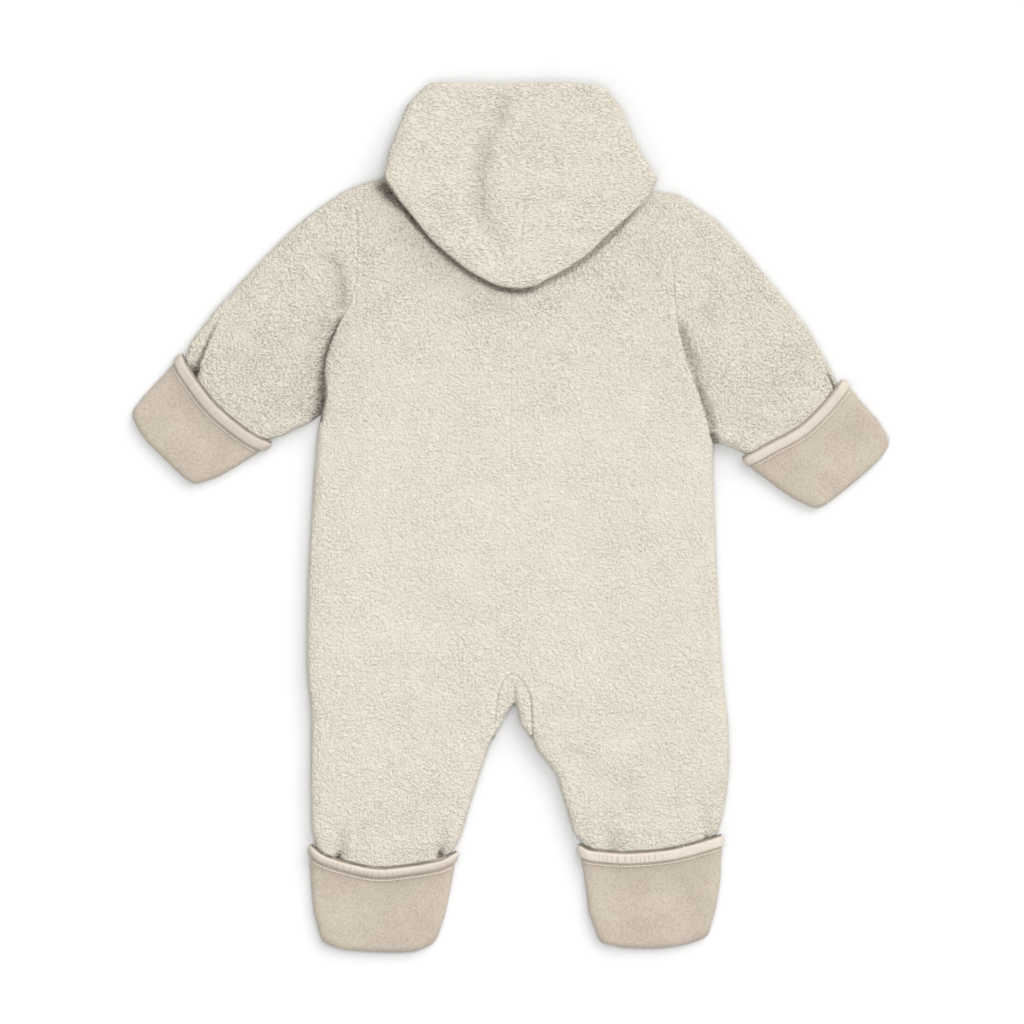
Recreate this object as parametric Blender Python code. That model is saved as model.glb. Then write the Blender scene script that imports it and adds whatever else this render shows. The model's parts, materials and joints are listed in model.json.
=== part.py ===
"""A teddy fleece pramsuit laid face down, its hood flopped over the back.

Sizes are in millimetres and become metres where a mesh is made. X runs across the garment, Y from
the feet to the hood and Z up. The origin is under the middle of the garment, on the surface that
it lies on. Left and right are as seen from above.
"""

import math

import bmesh
import bpy
import numpy as np

MM = 0.001
SEAM = 0.3  # between the edges of two pieces that are sewn together
PILE_WALL = 5.5  # teddy fleece, with its pile
LAID = 14.4  # two walls of it lying on each other
COVER_WALL = 2.5  # smooth fleece of the hand and foot covers
TUCK = 16.0  # how far a cuff or ankle goes in past the rim of its cover
FOLD_ANGLES = [math.radians(angle) for angle in (0, 42, 90)]  # round a folded edge

HOOD_UNDER_TOP = 18.7  # of the hood's hidden layers, which lie on the back
HOOD_TOP = 24.5
BINDING_REACH = 7.5
BINDING_THICK = 1.4

HOOD_NECK_REACH = 95.0  # how far the hood's neck goes along a shoulder

ARMHOLE_SHARE = 0.35  # of a side edge's stations
MIDDLE_SHARE, CROTCH_SHARE = 0.68, 0.1  # of a middle edge's

ZIP_GAP = 7.0  # from the middle to a front's edge, beside the zip
ZIP_TOP, ZIP_END = 203.0, -40.0
ZIP_MEET = -66.0  # where the fronts meet again below the zip
TAPE_END, TAPE_LOW, TAPE_THICK = -12.0, 3.9, 0.8
HINGE_Y, HINGE_Z = 186.0, 1.5  # the pull tab's axis, across the slider
SLIDER_HALF_X, SLIDER_HALF_Y, SLIDER_CORNER = 4.2, 6.5, 1.6
SLIDER_LOW, SLIDER_EDGE = 2.2, 2.6  # its lower face, and where that face's slope ends
TAB_LONG, TAB_HALF_X, TAB_CORNER = 22.0, 3.0, 1.4
TAB_HALF_THICK = 0.45  # also half the width of the bar on the axis
TAB_WINDOW_X, TAB_WINDOW_Y, TAB_WINDOW_CORNER = 1.6, 2.4, 0.3  # half sizes

TEDDY = ("teddy_fleece", (0.79, 0.73, 0.62), 0.95)
SMOOTH_FLEECE = ("smooth_fleece", (0.61, 0.53, 0.44), 0.9)
BINDING = ("binding", (0.68, 0.58, 0.49), 0.8)
ZIP_CLOTH = ("zip_tape", (0.72, 0.66, 0.56), 0.85)
ZIP_METAL = ("zip_metal", (0.62, 0.6, 0.56), 0.35)


# Outlines: columns x, y. Each runs from its first corner to its last, with the points that its
# shape needs, and is made smooth below.

SHOULDER = {
    "left": [(-55, 265), (-80, 262.5), (-98, 260), (-110, 256), (-121, 252)],
    "right": [(55, 260), (85, 254.5), (105, 250), (120.5, 248)],
}
BACK_NECK = {
    "left": [(-0.15, 248), (-20, 250), (-40, 257), (-55, 265)],
    "right": [(0.15, 248), (20, 249), (40, 254), (55, 260)],
}
FRONT_NECK = {
    "left": [(-7, 205), (-28, 209), (-46, 226), (-54, 248), (-55, 265)],
    "right": [(7, 205), (28, 208), (46, 224), (54, 244), (55, 260)],
}
ARMHOLE = {
    "left": [(-121, 252), (-117, 226), (-117, 196), (-119.5, 173), (-126, 156), (-137, 137),
             (-142, 119), (-145, 78)],
    "right": [(120.5, 248), (121, 214), (124, 180), (126, 156), (129, 138), (137, 112),
              (145, 92), (154, 56)],
}
SIDE = {
    "left": [(-145, 78), (-149, 55), (-151.5, 10), (-155, -45), (-156, -110), (-152.5, -152),
             (-153, -190), (-152.5, -222), (-152, -240)],
    "right": [(154, 56), (155.4, 13), (157, -35), (159, -78), (162, -121), (166, -160),
              (167, -188), (164.6, -212), (161, -232)],
}
CROTCH = {
    "left": [(-0.15, -119.5), (-4, -122), (-8.4, -130.5), (-10.7, -141), (-12, -155), (-13, -166)],
    "right": [(0.15, -119.5), (6, -122), (11.5, -129), (15, -138), (16, -150), (16.5, -166)],
}
INSEAM = {
    "left": [(-13, -166), (-17, -176), (-23, -194), (-27, -206), (-33, -226), (-37, -242)],
    "right": [(16.5, -166), (18.5, -176), (27.5, -188), (37, -200), (40, -212), (43.5, -228),
              (48, -241)],
}
NOTCH = [(-12.7, -169.5), (-5, -154), (0, -145.5), (3.5, -142.5), (5.5, -149), (7, -158),
         (15.5, -169.5)]

SHOULDER_TO_CUFF = {
    "left": [(-121, 252), (-130, 249), (-137, 245), (-144, 239), (-160, 227), (-179, 208.5),
             (-197.5, 190), (-213, 172), (-231, 153.5), (-243.5, 139)],
    "right": [(120.5, 248), (132, 246.5), (139, 244.5), (146, 238.5), (158.5, 227), (175, 208.5),
              (195, 184), (217, 159.5), (233, 135), (242.5, 119)],
}
UNDERARM_TO_CUFF = {
    "left": [(-145, 78), (-154, 71.5), (-163, 67.5), (-173, 62.5)],
    "right": [(154, 56), (160, 56), (166, 53.5)],
}

# A cover: rim and tip run from the near side to the far side, and the sides from rim to tip. Near
# is the side away from the body on a hand, and the inseam's on a foot.
COVERS = {
    "mitt_left": {
        "rim": [(-250, 125), (-245.5, 114.5), (-232, 95.5), (-223, 85), (-211, 74.5),
                (-199, 65.5), (-190, 60.5), (-182.5, 58)],
        "tip": [(-289.8, 78.5), (-286, 69), (-277.4, 57), (-265, 45), (-251, 31), (-243, 26)],
        "near": [(-250, 125), (-267.5, 107), (-281, 92.5), (-288, 84), (-289.8, 78.5)],
        "far": [(-182.5, 58), (-193, 49.5), (-209, 39), (-223, 31), (-235, 26), (-243, 26)],
    },
    "mitt_right": {
        "rim": [(252, 105.5), (246, 97), (236, 85), (222.5, 72), (212, 65), (196.6, 57),
                (186, 51), (176.5, 46.5)],
        "tip": [(289, 56.5), (286, 49.5), (277.4, 40), (259.8, 24.8), (243, 11.5), (235, 7)],
        "near": [(252, 105.5), (265.5, 91.5), (281.5, 73), (288, 63.5), (289, 56.5)],
        "far": [(176.5, 46.5), (186, 35.5), (199, 25.5), (218, 12.5), (227, 7.5), (235, 7)],
    },
    "foot_left": {
        "rim": [(-42, -254), (-53, -260), (-66, -263), (-83, -265.5), (-99, -267), (-114, -265),
                (-133, -260), (-144, -255.5), (-152, -249)],
        "tip": [(-57.5, -323.5), (-65, -330), (-75, -332), (-94.5, -332.6), (-128, -330.5),
                (-138, -328), (-144.5, -323.5)],
        "near": [(-42, -254), (-45, -279), (-48.8, -298), (-52, -311), (-57.5, -323.5)],
        "far": [(-152, -249), (-153.8, -268), (-152, -290), (-149.5, -308), (-144.5, -323.5)],
    },
    "foot_right": {
        "rim": [(52.5, -248.5), (60, -252.5), (72, -254), (88, -255), (111, -253.5), (127, -251),
                (144, -246.5), (160.5, -241.5)],
        "tip": [(67.5, -324), (79, -328), (103, -329.6), (120, -328.8), (135.6, -325.8),
                (146.5, -322.5), (151, -318.5)],
        "near": [(52.5, -248.5), (54.5, -268), (57.2, -285), (59.4, -303.6), (67.5, -324)],
        "far": [(160.5, -241.5), (161, -262), (160, -280), (156, -302), (151, -318.5)],
    },
}

HOOD_SEAM = [(18, 331.5), (14, 285), (10, 230), (6, 173.4)]
HOOD_EDGE = {
    "left": [(-60, 331.5), (-72.5, 324), (-83, 308), (-88.5, 288), (-96, 273), (-97, 261),
             (-93, 250), (-79, 235), (-65.5, 216), (-46.5, 198.5), (-25, 182.5), (-7, 175.5)],
    "right": [(66, 329.5), (78, 322.5), (86, 308), (92, 293), (102, 273), (111.5, 259.5),
              (111.5, 250.5), (99, 236.5), (79, 219), (55, 196.5), (37.5, 186), (19, 176)],
}
HOOD_HEM = {
    "left": [(18, 331.5), (-8, 330.5), (-40, 331.8), (-60, 331.5)],
    "right": [(18, 331.5), (40, 331.6), (66, 329.5)],
}
HOOD_NECK_TOP = [(-93, 273), (-86, 288), (-81, 307), (-71, 321), (-58, 328.5), (0, 327.5),
                 (63, 326.5), (75, 320), (83, 307), (90, 291), (99, 273), (105, 260)]

# Soft hollows pressed into the upper walls: the way each runs, its depth and its half width.
ARM_FOLD = {
    "left": {"run": [(-124, 160), (-137, 137), (-142, 119), (-145, 82)], "deep": 2.6, "wide": 7.0},
    "right": {"run": [(126, 156), (137, 112), (145, 92), (154, 60)], "deep": 2.6, "wide": 7.0},
}
SLEEVE_FOLD = {
    "left": {"run": [(-222, 155), (-229, 138), (-241, 115)], "deep": 1.8, "wide": 6.0},
    "right": {"run": [(238, 116), (242, 104), (247, 97)], "deep": 1.8, "wide": 6.0},
}
HOOD_TROUGH = {
    "run": [(-3, 322), (-8, 307), (-18, 286), (-25, 250), (-20, 222), (-10, 203)],
    "deep": 2.6,
    "wide": 9.0,
}

# How an end that goes into a cover gets thinner: columns past the rim, height laid, wall.
TUCK_SECTIONS = [
    (-45, LAID, PILE_WALL), (-15, 13.2, PILE_WALL), (0, 10.4, 4.9), (8, 7.4, 3.4), (TUCK, 6.1, 2.9),
]
# How a cover gets flatter past its rim: columns past the rim, height laid.
COVER_SECTIONS = [(0, 13.4), (8, 10.4), (TUCK, 9.0), (26, 8.4)]

# The layered edge of the hood's hidden cloth: columns inset, share of the height.
LAYERED_EDGE = [
    (3.0, 0.0), (1.0, 0.18), (1.6, 0.4), (4.0, 0.5), (1.6, 0.6), (1.0, 0.82), (3.0, 1.0),
]

# The bridge under the slider, which the pull tab hangs on: two corners of each of its bars.
BRIDGE_BARS = [
    ((-1.0, HINGE_Y - 3.2, 0.25), (1.0, HINGE_Y + 3.2, 0.8)),
    ((-1.0, HINGE_Y - 3.2, 0.4), (1.0, HINGE_Y - 2.2, 2.9)),
    ((-1.0, HINGE_Y + 2.2, 0.4), (1.0, HINGE_Y + 3.2, 2.9)),
]


# Curves


class Curve:
    """A polyline with a station from 0 to 1 at each point."""

    def __init__(self, points, stations=None):
        self.points = np.array(points, float)
        run = np.concatenate([[0], np.cumsum(np.linalg.norm(np.diff(self.points, axis=0), axis=1))])
        self.stations = run / run[-1] if stations is None else stations

    def at(self, share):
        return np.array([np.interp(share, self.stations, self.points[:, axis]) for axis in (0, 1)])

    def turned(self):
        return Curve(self.points[::-1], 1 - self.stations[::-1])

    def moved_left(self, distance):
        run = np.gradient(self.points, axis=0)
        run /= np.linalg.norm(run, axis=1)[:, None]
        aside = np.stack([-run[:, 1], run[:, 0]], axis=1)
        return Curve(self.points + distance * aside, self.stations)

    def nearest(self, point):
        """How far a point lies from the curve, and to its left (1) or right (-1)."""
        starts, runs = self.points[:-1], np.diff(self.points, axis=0)
        share = ((point - starts) * runs).sum(1) / np.maximum((runs**2).sum(1), 1e-9)
        feet = starts + np.clip(share, 0, 1)[:, None] * runs
        gaps = np.linalg.norm(point - feet, axis=1)
        best = int(gaps.argmin())
        offset = point - starts[best]
        side = runs[best][0] * offset[1] - runs[best][1] * offset[0]
        return float(gaps[best]), 1.0 if side > 0 else -1.0

    def heading(self, point):
        """The direction of the curve where it passes nearest to a point."""
        at = int(np.linalg.norm(self.points - point, axis=1).argmin())
        return unit(self.points[min(at + 1, len(self.points) - 1)] - self.points[max(at - 1, 0)])


def smooth(points, per_span=10):
    """The Catmull-Rom curve through the points."""
    knots = np.array([points[0], *points, points[-1]], float)
    steps = np.linspace(0, 1, per_span, endpoint=False)[:, None]
    runs = []
    for before, start, end, after in zip(knots, knots[1:], knots[2:], knots[3:]):
        bend = 2 * before - 5 * start + 4 * end - after
        twist = 3 * start - before - 3 * end + after
        runs.append(start + 0.5 * (steps * (end - before) + steps**2 * bend + steps**3 * twist))
    return Curve(np.vstack([*runs, knots[-1:]]))


def joined(*parts):
    """Curves end to end, each with its share of the stations, keeping the corners between."""
    points, stations, start = [], [], 0.0
    for curve, share in parts:
        first = 1 if points else 0
        points.append(curve.points[first:])
        stations.append(start + share * curve.stations[first:])
        start += share
    return Curve(np.vstack(points), np.concatenate(stations))


def unit(vector):
    return vector / np.linalg.norm(vector)


# A laid piece


class Laid:
    """Cloth that lies inside four edges: head and foot run from near to far, near and far from
    head to foot. A fold is a share from 0, a cut edge, to 1, rounded down to half height, at a
    point of its edge. Rows and columns are stops: ("fold", angle) and ("end", angle) go round the
    first and last edge, ("at", mm) and ("before", mm) lie that far from them, ("share", share) is
    that share of the way, and ("span", share) divides what is between the others."""

    def __init__(self, head, foot, near, far, heights, folds, rows, columns, hollows=()):
        self.head, self.foot, self.near, self.far = head, foot, near, far
        self.heights, self.folds = heights, folds
        self.rows, self.columns = rows, columns
        self.hollows = [(smooth(h["run"]), h["deep"], h["wide"]) for h in hollows]

    def spot(self, down, across):
        """The point of the flat piece at these shares, by a Coons patch."""
        head, foot = self.head.points, self.foot.points
        corners = (1 - down) * ((1 - across) * head[0] + across * head[-1]) + down * (
            (1 - across) * foot[0] + across * foot[-1]
        )
        lengthwise = (1 - down) * self.head.at(across) + down * self.foot.at(across)
        crosswise = (1 - across) * self.near.at(down) + across * self.far.at(down)
        return lengthwise + crosswise - corners

    def below_head(self, distance, across):
        """The point this far down a column."""
        length = np.linalg.norm(self.spot(1, across) - self.spot(0, across))
        return self.spot(distance / length, across)

    def fold(self, edge, point):
        share = self.folds.get(edge, 0)
        return share(point) if callable(share) else share

    def band(self, edge, point, way, span, inside):
        """The radius, inset and share of an edge's fold, measured along a row or column."""
        base, top, wall = self.heights(point)
        heading, way = getattr(self, edge).heading(point), unit(way)
        slant = max(abs(heading[0] * way[1] - heading[1] * way[0]), 0.55)
        radius = min(top - base if base > LAID else base, 0.42 * span * slant)
        fold = self.fold(edge, point)
        inset = fold * min(wall, 0.85 * radius) if inside else 0.0
        return radius / slant, inset / slant, fold

    def stop(self, stops, index, ends, edges, inside):
        """One stop's share of the way, and how far up a fold it is."""
        start, finish = self.spot(*ends[0]), self.spot(*ends[1])
        way = finish - start
        span = float(np.linalg.norm(way))
        first_band = self.band(edges[0], start, way, span, inside)
        last_band = self.band(edges[1], finish, way, span, inside)
        kind, value = stops[index]
        if kind in ("fold", "end"):
            radius, inset, fold = first_band if kind == "fold" else last_band
            away = inset + (radius - inset) * (1 - math.cos(value))
            rise = 1 - fold * (1 - math.sin(value))
            return (away / span if kind == "fold" else 1 - away / span), rise
        if kind == "at":
            return value / span, 1.0
        if kind == "before":
            return 1 - value / span, 1.0
        if kind == "share":
            return value, 1.0
        taken = {"fold": first_band[0], "end": last_band[0]}
        first = max([taken.get(k, v) for k, v in stops if k in ("fold", "at")] + [0])
        last = max([taken.get(k, v) for k, v in stops if k in ("end", "before")] + [0])
        return (first + value * (span - first - last)) / span, 1.0

    def place(self, row, column, sheet, inside):
        """A vertex of the top or under sheet, on its outer or inner surface."""
        down, across = self.guess(self.rows, row), self.guess(self.columns, column)
        ends = ((down, 0), (down, 1))
        new_across, rise_across = self.stop(self.columns, column, ends, ("near", "far"), inside)
        ends = ((0, across), (1, across))
        new_down, rise_down = self.stop(self.rows, row, ends, ("head", "foot"), inside)
        point = self.spot(new_down, new_across)
        base, top, wall = self.heights(point)
        rise = rise_across * rise_down
        if sheet == "top":
            target = top - wall if inside else top
        else:
            target = wall if inside else 0.0
        height = base + (target - base) * rise
        if sheet == "top" and not (inside and base > LAID):
            for curve, deep, wide in self.hollows:
                height -= rise * deep * math.exp(-((curve.nearest(point)[0] / wide) ** 2))
        return (*point, height)

    @staticmethod
    def guess(stops, index):
        """A share close to this stop's, to read the other two edges' folds at."""
        kind, value = stops[index]
        if kind == "share":
            return value
        if kind == "span":
            return 0.04 + 0.92 * value
        if kind in ("fold", "end"):
            near = 0.02 * (1 - math.cos(value))
        else:
            near = min(0.003 * value, 0.4)
        return 1 - near if kind in ("end", "before") else near


def shell(name, piece, sheets, shared, look, under_from=0):
    """A wall in the shape of a laid piece, of one sheet or of two that share folded edges."""
    row_count, column_count = len(piece.rows), len(piece.columns)
    index, outer, inner, faces = {}, [], [], []
    for sheet in sheets:
        first = under_from if sheet == "under" else 0

        def number(row, column, sheet=sheet):
            on_fold = (
                (column == 0 and "near" in shared)
                or (column == column_count - 1 and "far" in shared)
                or (row == row_count - 1 and "foot" in shared)
            )
            key = ("both" if on_fold else sheet, row, column)
            if key not in index:
                index[key] = len(outer)
                outer.append(piece.place(row, column, sheet, False))
                inner.append(piece.place(row, column, sheet, True))
            return index[key]

        for row in range(first, row_count - 1):
            for column in range(column_count - 1):
                faces.append(
                    [
                        number(row, column),
                        number(row, column + 1),
                        number(row + 1, column + 1),
                        number(row + 1, column),
                    ]
                )
    count = len(outer)
    uses = {}
    for face in faces:
        for a, b in zip(face, face[1:] + face[:1]):
            uses.setdefault(frozenset((a, b)), []).append((a, b))
    rims = [[b, a, a + count, b + count] for ((a, b), *more) in uses.values() if not more]
    flipped = [[i + count for i in reversed(face)] for face in faces]
    return solid(name, outer + inner, faces + flipped + rims, look)


def solid(name, points, faces, look):
    """A mesh object from points in millimetres, with its faces turned outwards."""
    mesh = bpy.data.meshes.new(name)
    mesh.from_pydata([tuple(MM * value for value in point) for point in points], [], faces)
    bm = bmesh.new()
    bm.from_mesh(mesh)
    bmesh.ops.recalc_face_normals(bm, faces=bm.faces)
    if bm.calc_volume(signed=True) < 0:
        bmesh.ops.reverse_faces(bm, faces=bm.faces)
    bm.to_mesh(mesh)
    bm.free()
    mesh.shade_smooth()
    mesh.set_sharp_from_angle(angle=math.radians(50))
    made = bpy.data.objects.new(name, mesh)
    made.data.materials.append(material(look))
    bpy.context.scene.collection.objects.link(made)
    return made


def material(look):
    name, colour, roughness = look
    found = bpy.data.materials.get(name)
    if found:
        return found
    made = bpy.data.materials.new(name)
    made.use_nodes = True
    shader = made.node_tree.nodes["Principled BSDF"]
    shader.inputs["Base Color"].default_value = (*colour, 1)
    shader.inputs["Roughness"].default_value = roughness
    shader.inputs["Metallic"].default_value = 1.0 if look is ZIP_METAL else 0.0
    return made


def spans(count):
    return [("span", (step + 1) / (count + 1)) for step in range(count)]


def folded(kind):
    angles = FOLD_ANGLES if kind == "fold" else FOLD_ANGLES[::-1]
    return [(kind, angle) for angle in angles]


# Covers


def cover_patch(name):
    edges = {edge: smooth(points) for edge, points in COVERS[name].items()}
    past = [section[0] for section in COVER_SECTIONS]
    tops = [section[1] for section in COVER_SECTIONS]

    def heights(point):
        top = float(np.interp(past_rim(edges["rim"], edges["tip"], point), past, tops))
        return top / 2, top, COVER_WALL

    return Laid(
        edges["rim"], edges["tip"], edges["near"], edges["far"], heights,
        {"near": 1, "far": 1, "foot": 1},
        [("at", 0), ("at", 5), ("at", 11), ("at", TUCK + 3 * SEAM), *spans(2), *folded("end")],
        [*folded("fold"), *spans(5), *folded("end")],
    )


def past_rim(rim, tip, point):
    """How far a point lies past a rim, towards the tip."""
    gap, side = rim.nearest(point)
    return gap * side * rim.nearest(tip.at(0.5))[1]


def tucked_heights(cover, split):
    """Heights of cloth that goes into a cover, halved at split past the middle."""
    past, tops, walls = zip(*TUCK_SECTIONS)

    def heights(point):
        distance = past_rim(cover.head, cover.foot, point)
        top = float(np.interp(distance, past, tops))
        return top / 2 + split, top, float(np.interp(distance, past, walls))

    return heights


def tucked_end(cover):
    """Where the cloth inside a cover ends, and the last points of its two sides."""
    width = np.linalg.norm(cover.head.points[-1] - cover.head.points[0])
    inset = (COVER_WALL + 2 * SEAM) / width
    end = smooth([cover.below_head(TUCK, share) for share in np.linspace(inset, 1 - inset, 13)])
    sides = []
    for share in (inset, 1 - inset):
        rim, inside = cover.below_head(0, share), cover.below_head(TUCK / 2, share)
        sides.append([rim + (rim - inside) * 0.5, inside, cover.below_head(TUCK, share)])
    return end, sides


def binding(name, cover):
    """A strip folded over a cover's rim, worked out from the cover's own points."""
    section = [
        (BINDING_REACH, SEAM), (BINDING_REACH, BINDING_THICK * 0.7),
        (BINDING_REACH * 0.5, BINDING_THICK + SEAM), (0.6, BINDING_THICK + SEAM),
        (-0.8, BINDING_THICK * 0.4), (-0.9, -0.6), (-0.5, -COVER_WALL * 0.6),
        (-SEAM, -COVER_WALL * 0.4), (-SEAM, SEAM),
    ]
    points, faces = [], []
    stations = len(cover.columns)
    for column in range(stations):
        start = np.array(cover.place(0, column, "top", False))
        inward = unit(np.array(cover.place(1, column, "top", False)) - start)
        before = np.array(cover.place(0, max(column - 1, 0), "top", False))
        after = np.array(cover.place(0, min(column + 1, stations - 1), "top", False))
        up = np.cross(after - before, inward)
        up = unit(up if up[2] > 0 else -up)
        points += [tuple(start + inward * x + up * z) for x, z in section]
    size = len(section)
    for station in range(stations - 1):
        for corner in range(size):
            after = (corner + 1) % size
            low, high = station * size, (station + 1) * size
            faces.append([low + corner, low + after, high + after, high + corner])
    faces.append(list(range(size))[::-1])
    faces.append([(stations - 1) * size + corner for corner in range(size)])
    return solid(name, points, faces, BINDING)


# Body


def below(level, over):
    """A fold that starts where an edge passes below a level and is whole by over below it."""
    return lambda point: float(np.clip((level - point[1]) / over, 0, 1)) ** 0.5


def beyond(x, over):
    """A fold that starts where an edge passes this far from the middle."""
    return lambda point: float(np.clip((abs(point[0]) - x) / over, 0, 1)) ** 0.5


def body_rows():
    """Closer together down the armhole, at the underarm and round the crotch."""
    armhole = [ARMHOLE_SHARE * (step + 1) / 10 for step in range(10)]
    side = [ARMHOLE_SHARE + more for more in (0.02, 0.09, 0.17, 0.24)]
    crotch = [MIDDLE_SHARE + CROTCH_SHARE * step / 7 for step in range(8)]
    leg = [MIDDLE_SHARE + CROTCH_SHARE + more for more in (0.02, 0.07, 0.12)]
    ends = [("before", distance) for distance in (30, TUCK, 8, 0)]
    return [*folded("fold"), *[("share", share) for share in (*armhole, *side, *crotch, *leg)], *ends]


def body_panel(hand, neck, middle, cover, split):
    """One half of the front or back with its leg."""
    end, (near_tail, far_tail) = tucked_end(cover)
    near = joined(
        (Curve(middle), MIDDLE_SHARE),
        (smooth(CROTCH[hand]), CROTCH_SHARE),
        (smooth([*INSEAM[hand], *near_tail]), 1 - MIDDLE_SHARE - CROTCH_SHARE),
    )
    far = joined(
        (smooth(ARMHOLE[hand]), ARMHOLE_SHARE), (smooth([*SIDE[hand], *far_tail]), 1 - ARMHOLE_SHARE)
    )
    folds = {
        "head": beyond(56, 6),
        "near": below(CROTCH[hand][-1][1] + 2, 8),
        "far": below(ARMHOLE[hand][-1][1] + 7, 9),
    }
    return Laid(
        joined((smooth(neck), 0.5), (smooth(SHOULDER[hand]), 0.5)), end, near, far,
        tucked_heights(cover, split), folds,
        body_rows(), [*folded("fold"), *spans(4), *folded("end")], [ARM_FOLD[hand]],
    )


def make_body(covers):
    """Both halves of the back and of the front, which the hood's neck is made from."""
    panels = {}
    for hand, sign in (("left", -1), ("right", 1)):
        cover = covers[f"foot_{hand}"]
        back = [BACK_NECK[hand][0], CROTCH[hand][0]]
        front = [
            (sign * ZIP_GAP, FRONT_NECK[hand][0][1]), (sign * ZIP_GAP, ZIP_END),
            (sign * SEAM / 2, ZIP_MEET), CROTCH[hand][0],
        ]
        panels[f"back_{hand}"] = body_panel(hand, BACK_NECK[hand], back, cover, SEAM / 2)
        panels[f"front_{hand}"] = body_panel(hand, FRONT_NECK[hand], front, cover, -SEAM / 2)
        shell(f"back_{hand}", panels[f"back_{hand}"], ["top"], [], TEDDY)
        shell(f"front_{hand}", panels[f"front_{hand}"], ["under"], [], TEDDY)
    return panels


def make_gusset():
    """An inverted U round the notch between the legs, sewn to both backs and both fronts."""
    seam = joined((smooth(CROTCH["left"]).turned(), 0.5), (smooth(CROTCH["right"]), 0.5))
    seam, notch = seam.moved_left(-SEAM), smooth(NOTCH)
    rows = [("share", step / 14) for step in range(15)]
    piece = Laid(
        Curve([seam.points[0], notch.points[0]]), Curve([seam.points[-1], notch.points[-1]]),
        seam, notch, lambda point: (LAID / 2, LAID, PILE_WALL), {"far": 1},
        rows, [("at", 0), ("span", 0.5), *folded("end")],
    )
    return shell("crotch_gusset", piece, ["top", "under"], ["far"], TEDDY)


# Sleeves


def make_sleeve(hand, cover):
    end, (near_tail, far_tail) = tucked_end(cover)
    armhole = smooth(ARMHOLE[hand]).moved_left(SEAM if hand == "right" else -SEAM)
    shoulder = smooth([armhole.points[0], *SHOULDER_TO_CUFF[hand][1:], *near_tail])
    underarm = smooth([armhole.points[-1], *UNDERARM_TO_CUFF[hand][1:], *far_tail])
    ends = [("before", distance) for distance in (30, TUCK, 8, 0)]
    across = [("share", (step + 1) / 10) for step in range(9)]
    piece = Laid(
        armhole, end, shoulder, underarm, tucked_heights(cover, 0), {"near": 1, "far": 1},
        [("at", 0), ("at", 7), *spans(4), *ends], [*folded("fold"), *across, *folded("end")],
        [ARM_FOLD[hand], SLEEVE_FOLD[hand]],
    )
    return shell(f"sleeve_{hand}", piece, ["top", "under"], ["near", "far"], TEDDY)


# Hood


def make_hood_half(hand):
    seam = smooth(HOOD_SEAM).moved_left(SEAM / 2 if hand == "right" else -SEAM / 2)
    edge = smooth(HOOD_EDGE[hand])
    hem = smooth([seam.points[0], *HOOD_HEM[hand][1:]])
    point = Curve([seam.points[-1], edge.points[-1]])
    low = HOOD_UNDER_TOP + SEAM
    piece = Laid(
        hem, point, seam, edge, lambda spot: (low, HOOD_TOP, HOOD_TOP - low),
        {"head": 1, "far": 1, "foot": 1},
        [*folded("fold"), *spans(9), *folded("end")], [("at", 0), *spans(7), *folded("end")],
        [HOOD_TROUGH],
    )
    return shell(f"hood_{hand}", piece, ["top"], [], TEDDY)


def inset(loop, distance):
    """A closed loop moved inwards, all round."""
    runs = np.roll(loop, -1, axis=0) - np.roll(loop, 1, axis=0)
    runs /= np.linalg.norm(runs, axis=1)[:, None]
    turning = np.sum(loop[:, 0] * np.roll(loop[:, 1], -1) - loop[:, 1] * np.roll(loop[:, 0], -1))
    return loop + np.sign(turning) * distance * np.stack([-runs[:, 1], runs[:, 0]], axis=1)


def stacked(name, loops, look):
    """A closed solid from loops of as many points, each at its height, bottom to top."""
    size = len(loops[0][0])
    points = [(*point, height) for loop, height in loops for point in loop]
    faces = []
    for level in range(len(loops) - 1):
        for corner in range(size):
            after = (corner + 1) % size
            low, high = level * size, (level + 1) * size
            faces.append([low + corner, low + after, high + after, high + corner])
    faces.append(list(range(size))[::-1])
    faces.append([(len(loops) - 1) * size + corner for corner in range(size)])
    return solid(name, points, faces, look)


def resampled(points, count):
    curve = Curve(points)
    return np.array([curve.at(step / count) for step in range(count)])


def make_hood_fold():
    """The folded layers between the back and the layer that shows."""
    left = np.vstack([smooth(HOOD_HEM["left"]).points, smooth(HOOD_EDGE["left"]).points[1:]])
    right = np.vstack([smooth(HOOD_HEM["right"]).points, smooth(HOOD_EDGE["right"]).points[1:]])
    around = resampled(np.vstack([left, [HOOD_SEAM[-1]], right[::-1]]), 44)
    low = LAID + SEAM
    loops = [
        (inset(around, distance + 0.5), low + share * (HOOD_UNDER_TOP - low))
        for distance, share in LAYERED_EDGE
    ]
    return stacked("hood_fold", loops, TEDDY)


def neck_points(panels, side):
    """Just above the neck edges of the two fronts or of the two backs, from left to right."""
    sheet = "top" if side == "back" else "under"
    found = []
    for hand in ("left", "right"):
        panel = panels[f"{side}_{hand}"]
        edge = [panel.place(0, column, sheet, False)[:2] for column in range(len(panel.columns))]
        edge = [point for point in edge if abs(point[0]) < HOOD_NECK_REACH]
        found += edge[::-1] if hand == "left" else edge
    return Curve(found).moved_left(2 * SEAM).points


def make_hood_neck(panels):
    """The layers of the hood that go up from the neck seam, front and back, in one solid."""
    necks = {side: neck_points(panels, side) for side in ("front", "back")}
    top = resampled(smooth(HOOD_NECK_TOP).points[::-1], 22)
    loops = []
    for distance, share in LAYERED_EDGE:
        height = share * LAID
        neck = necks["front" if height < PILE_WALL else "back"]
        edge = inset(np.vstack([neck, top]), distance)
        edge[: len(neck)] = neck
        loops.append((edge, height))
    return stacked("hood_neck", loops, TEDDY)


# Zip


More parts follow.
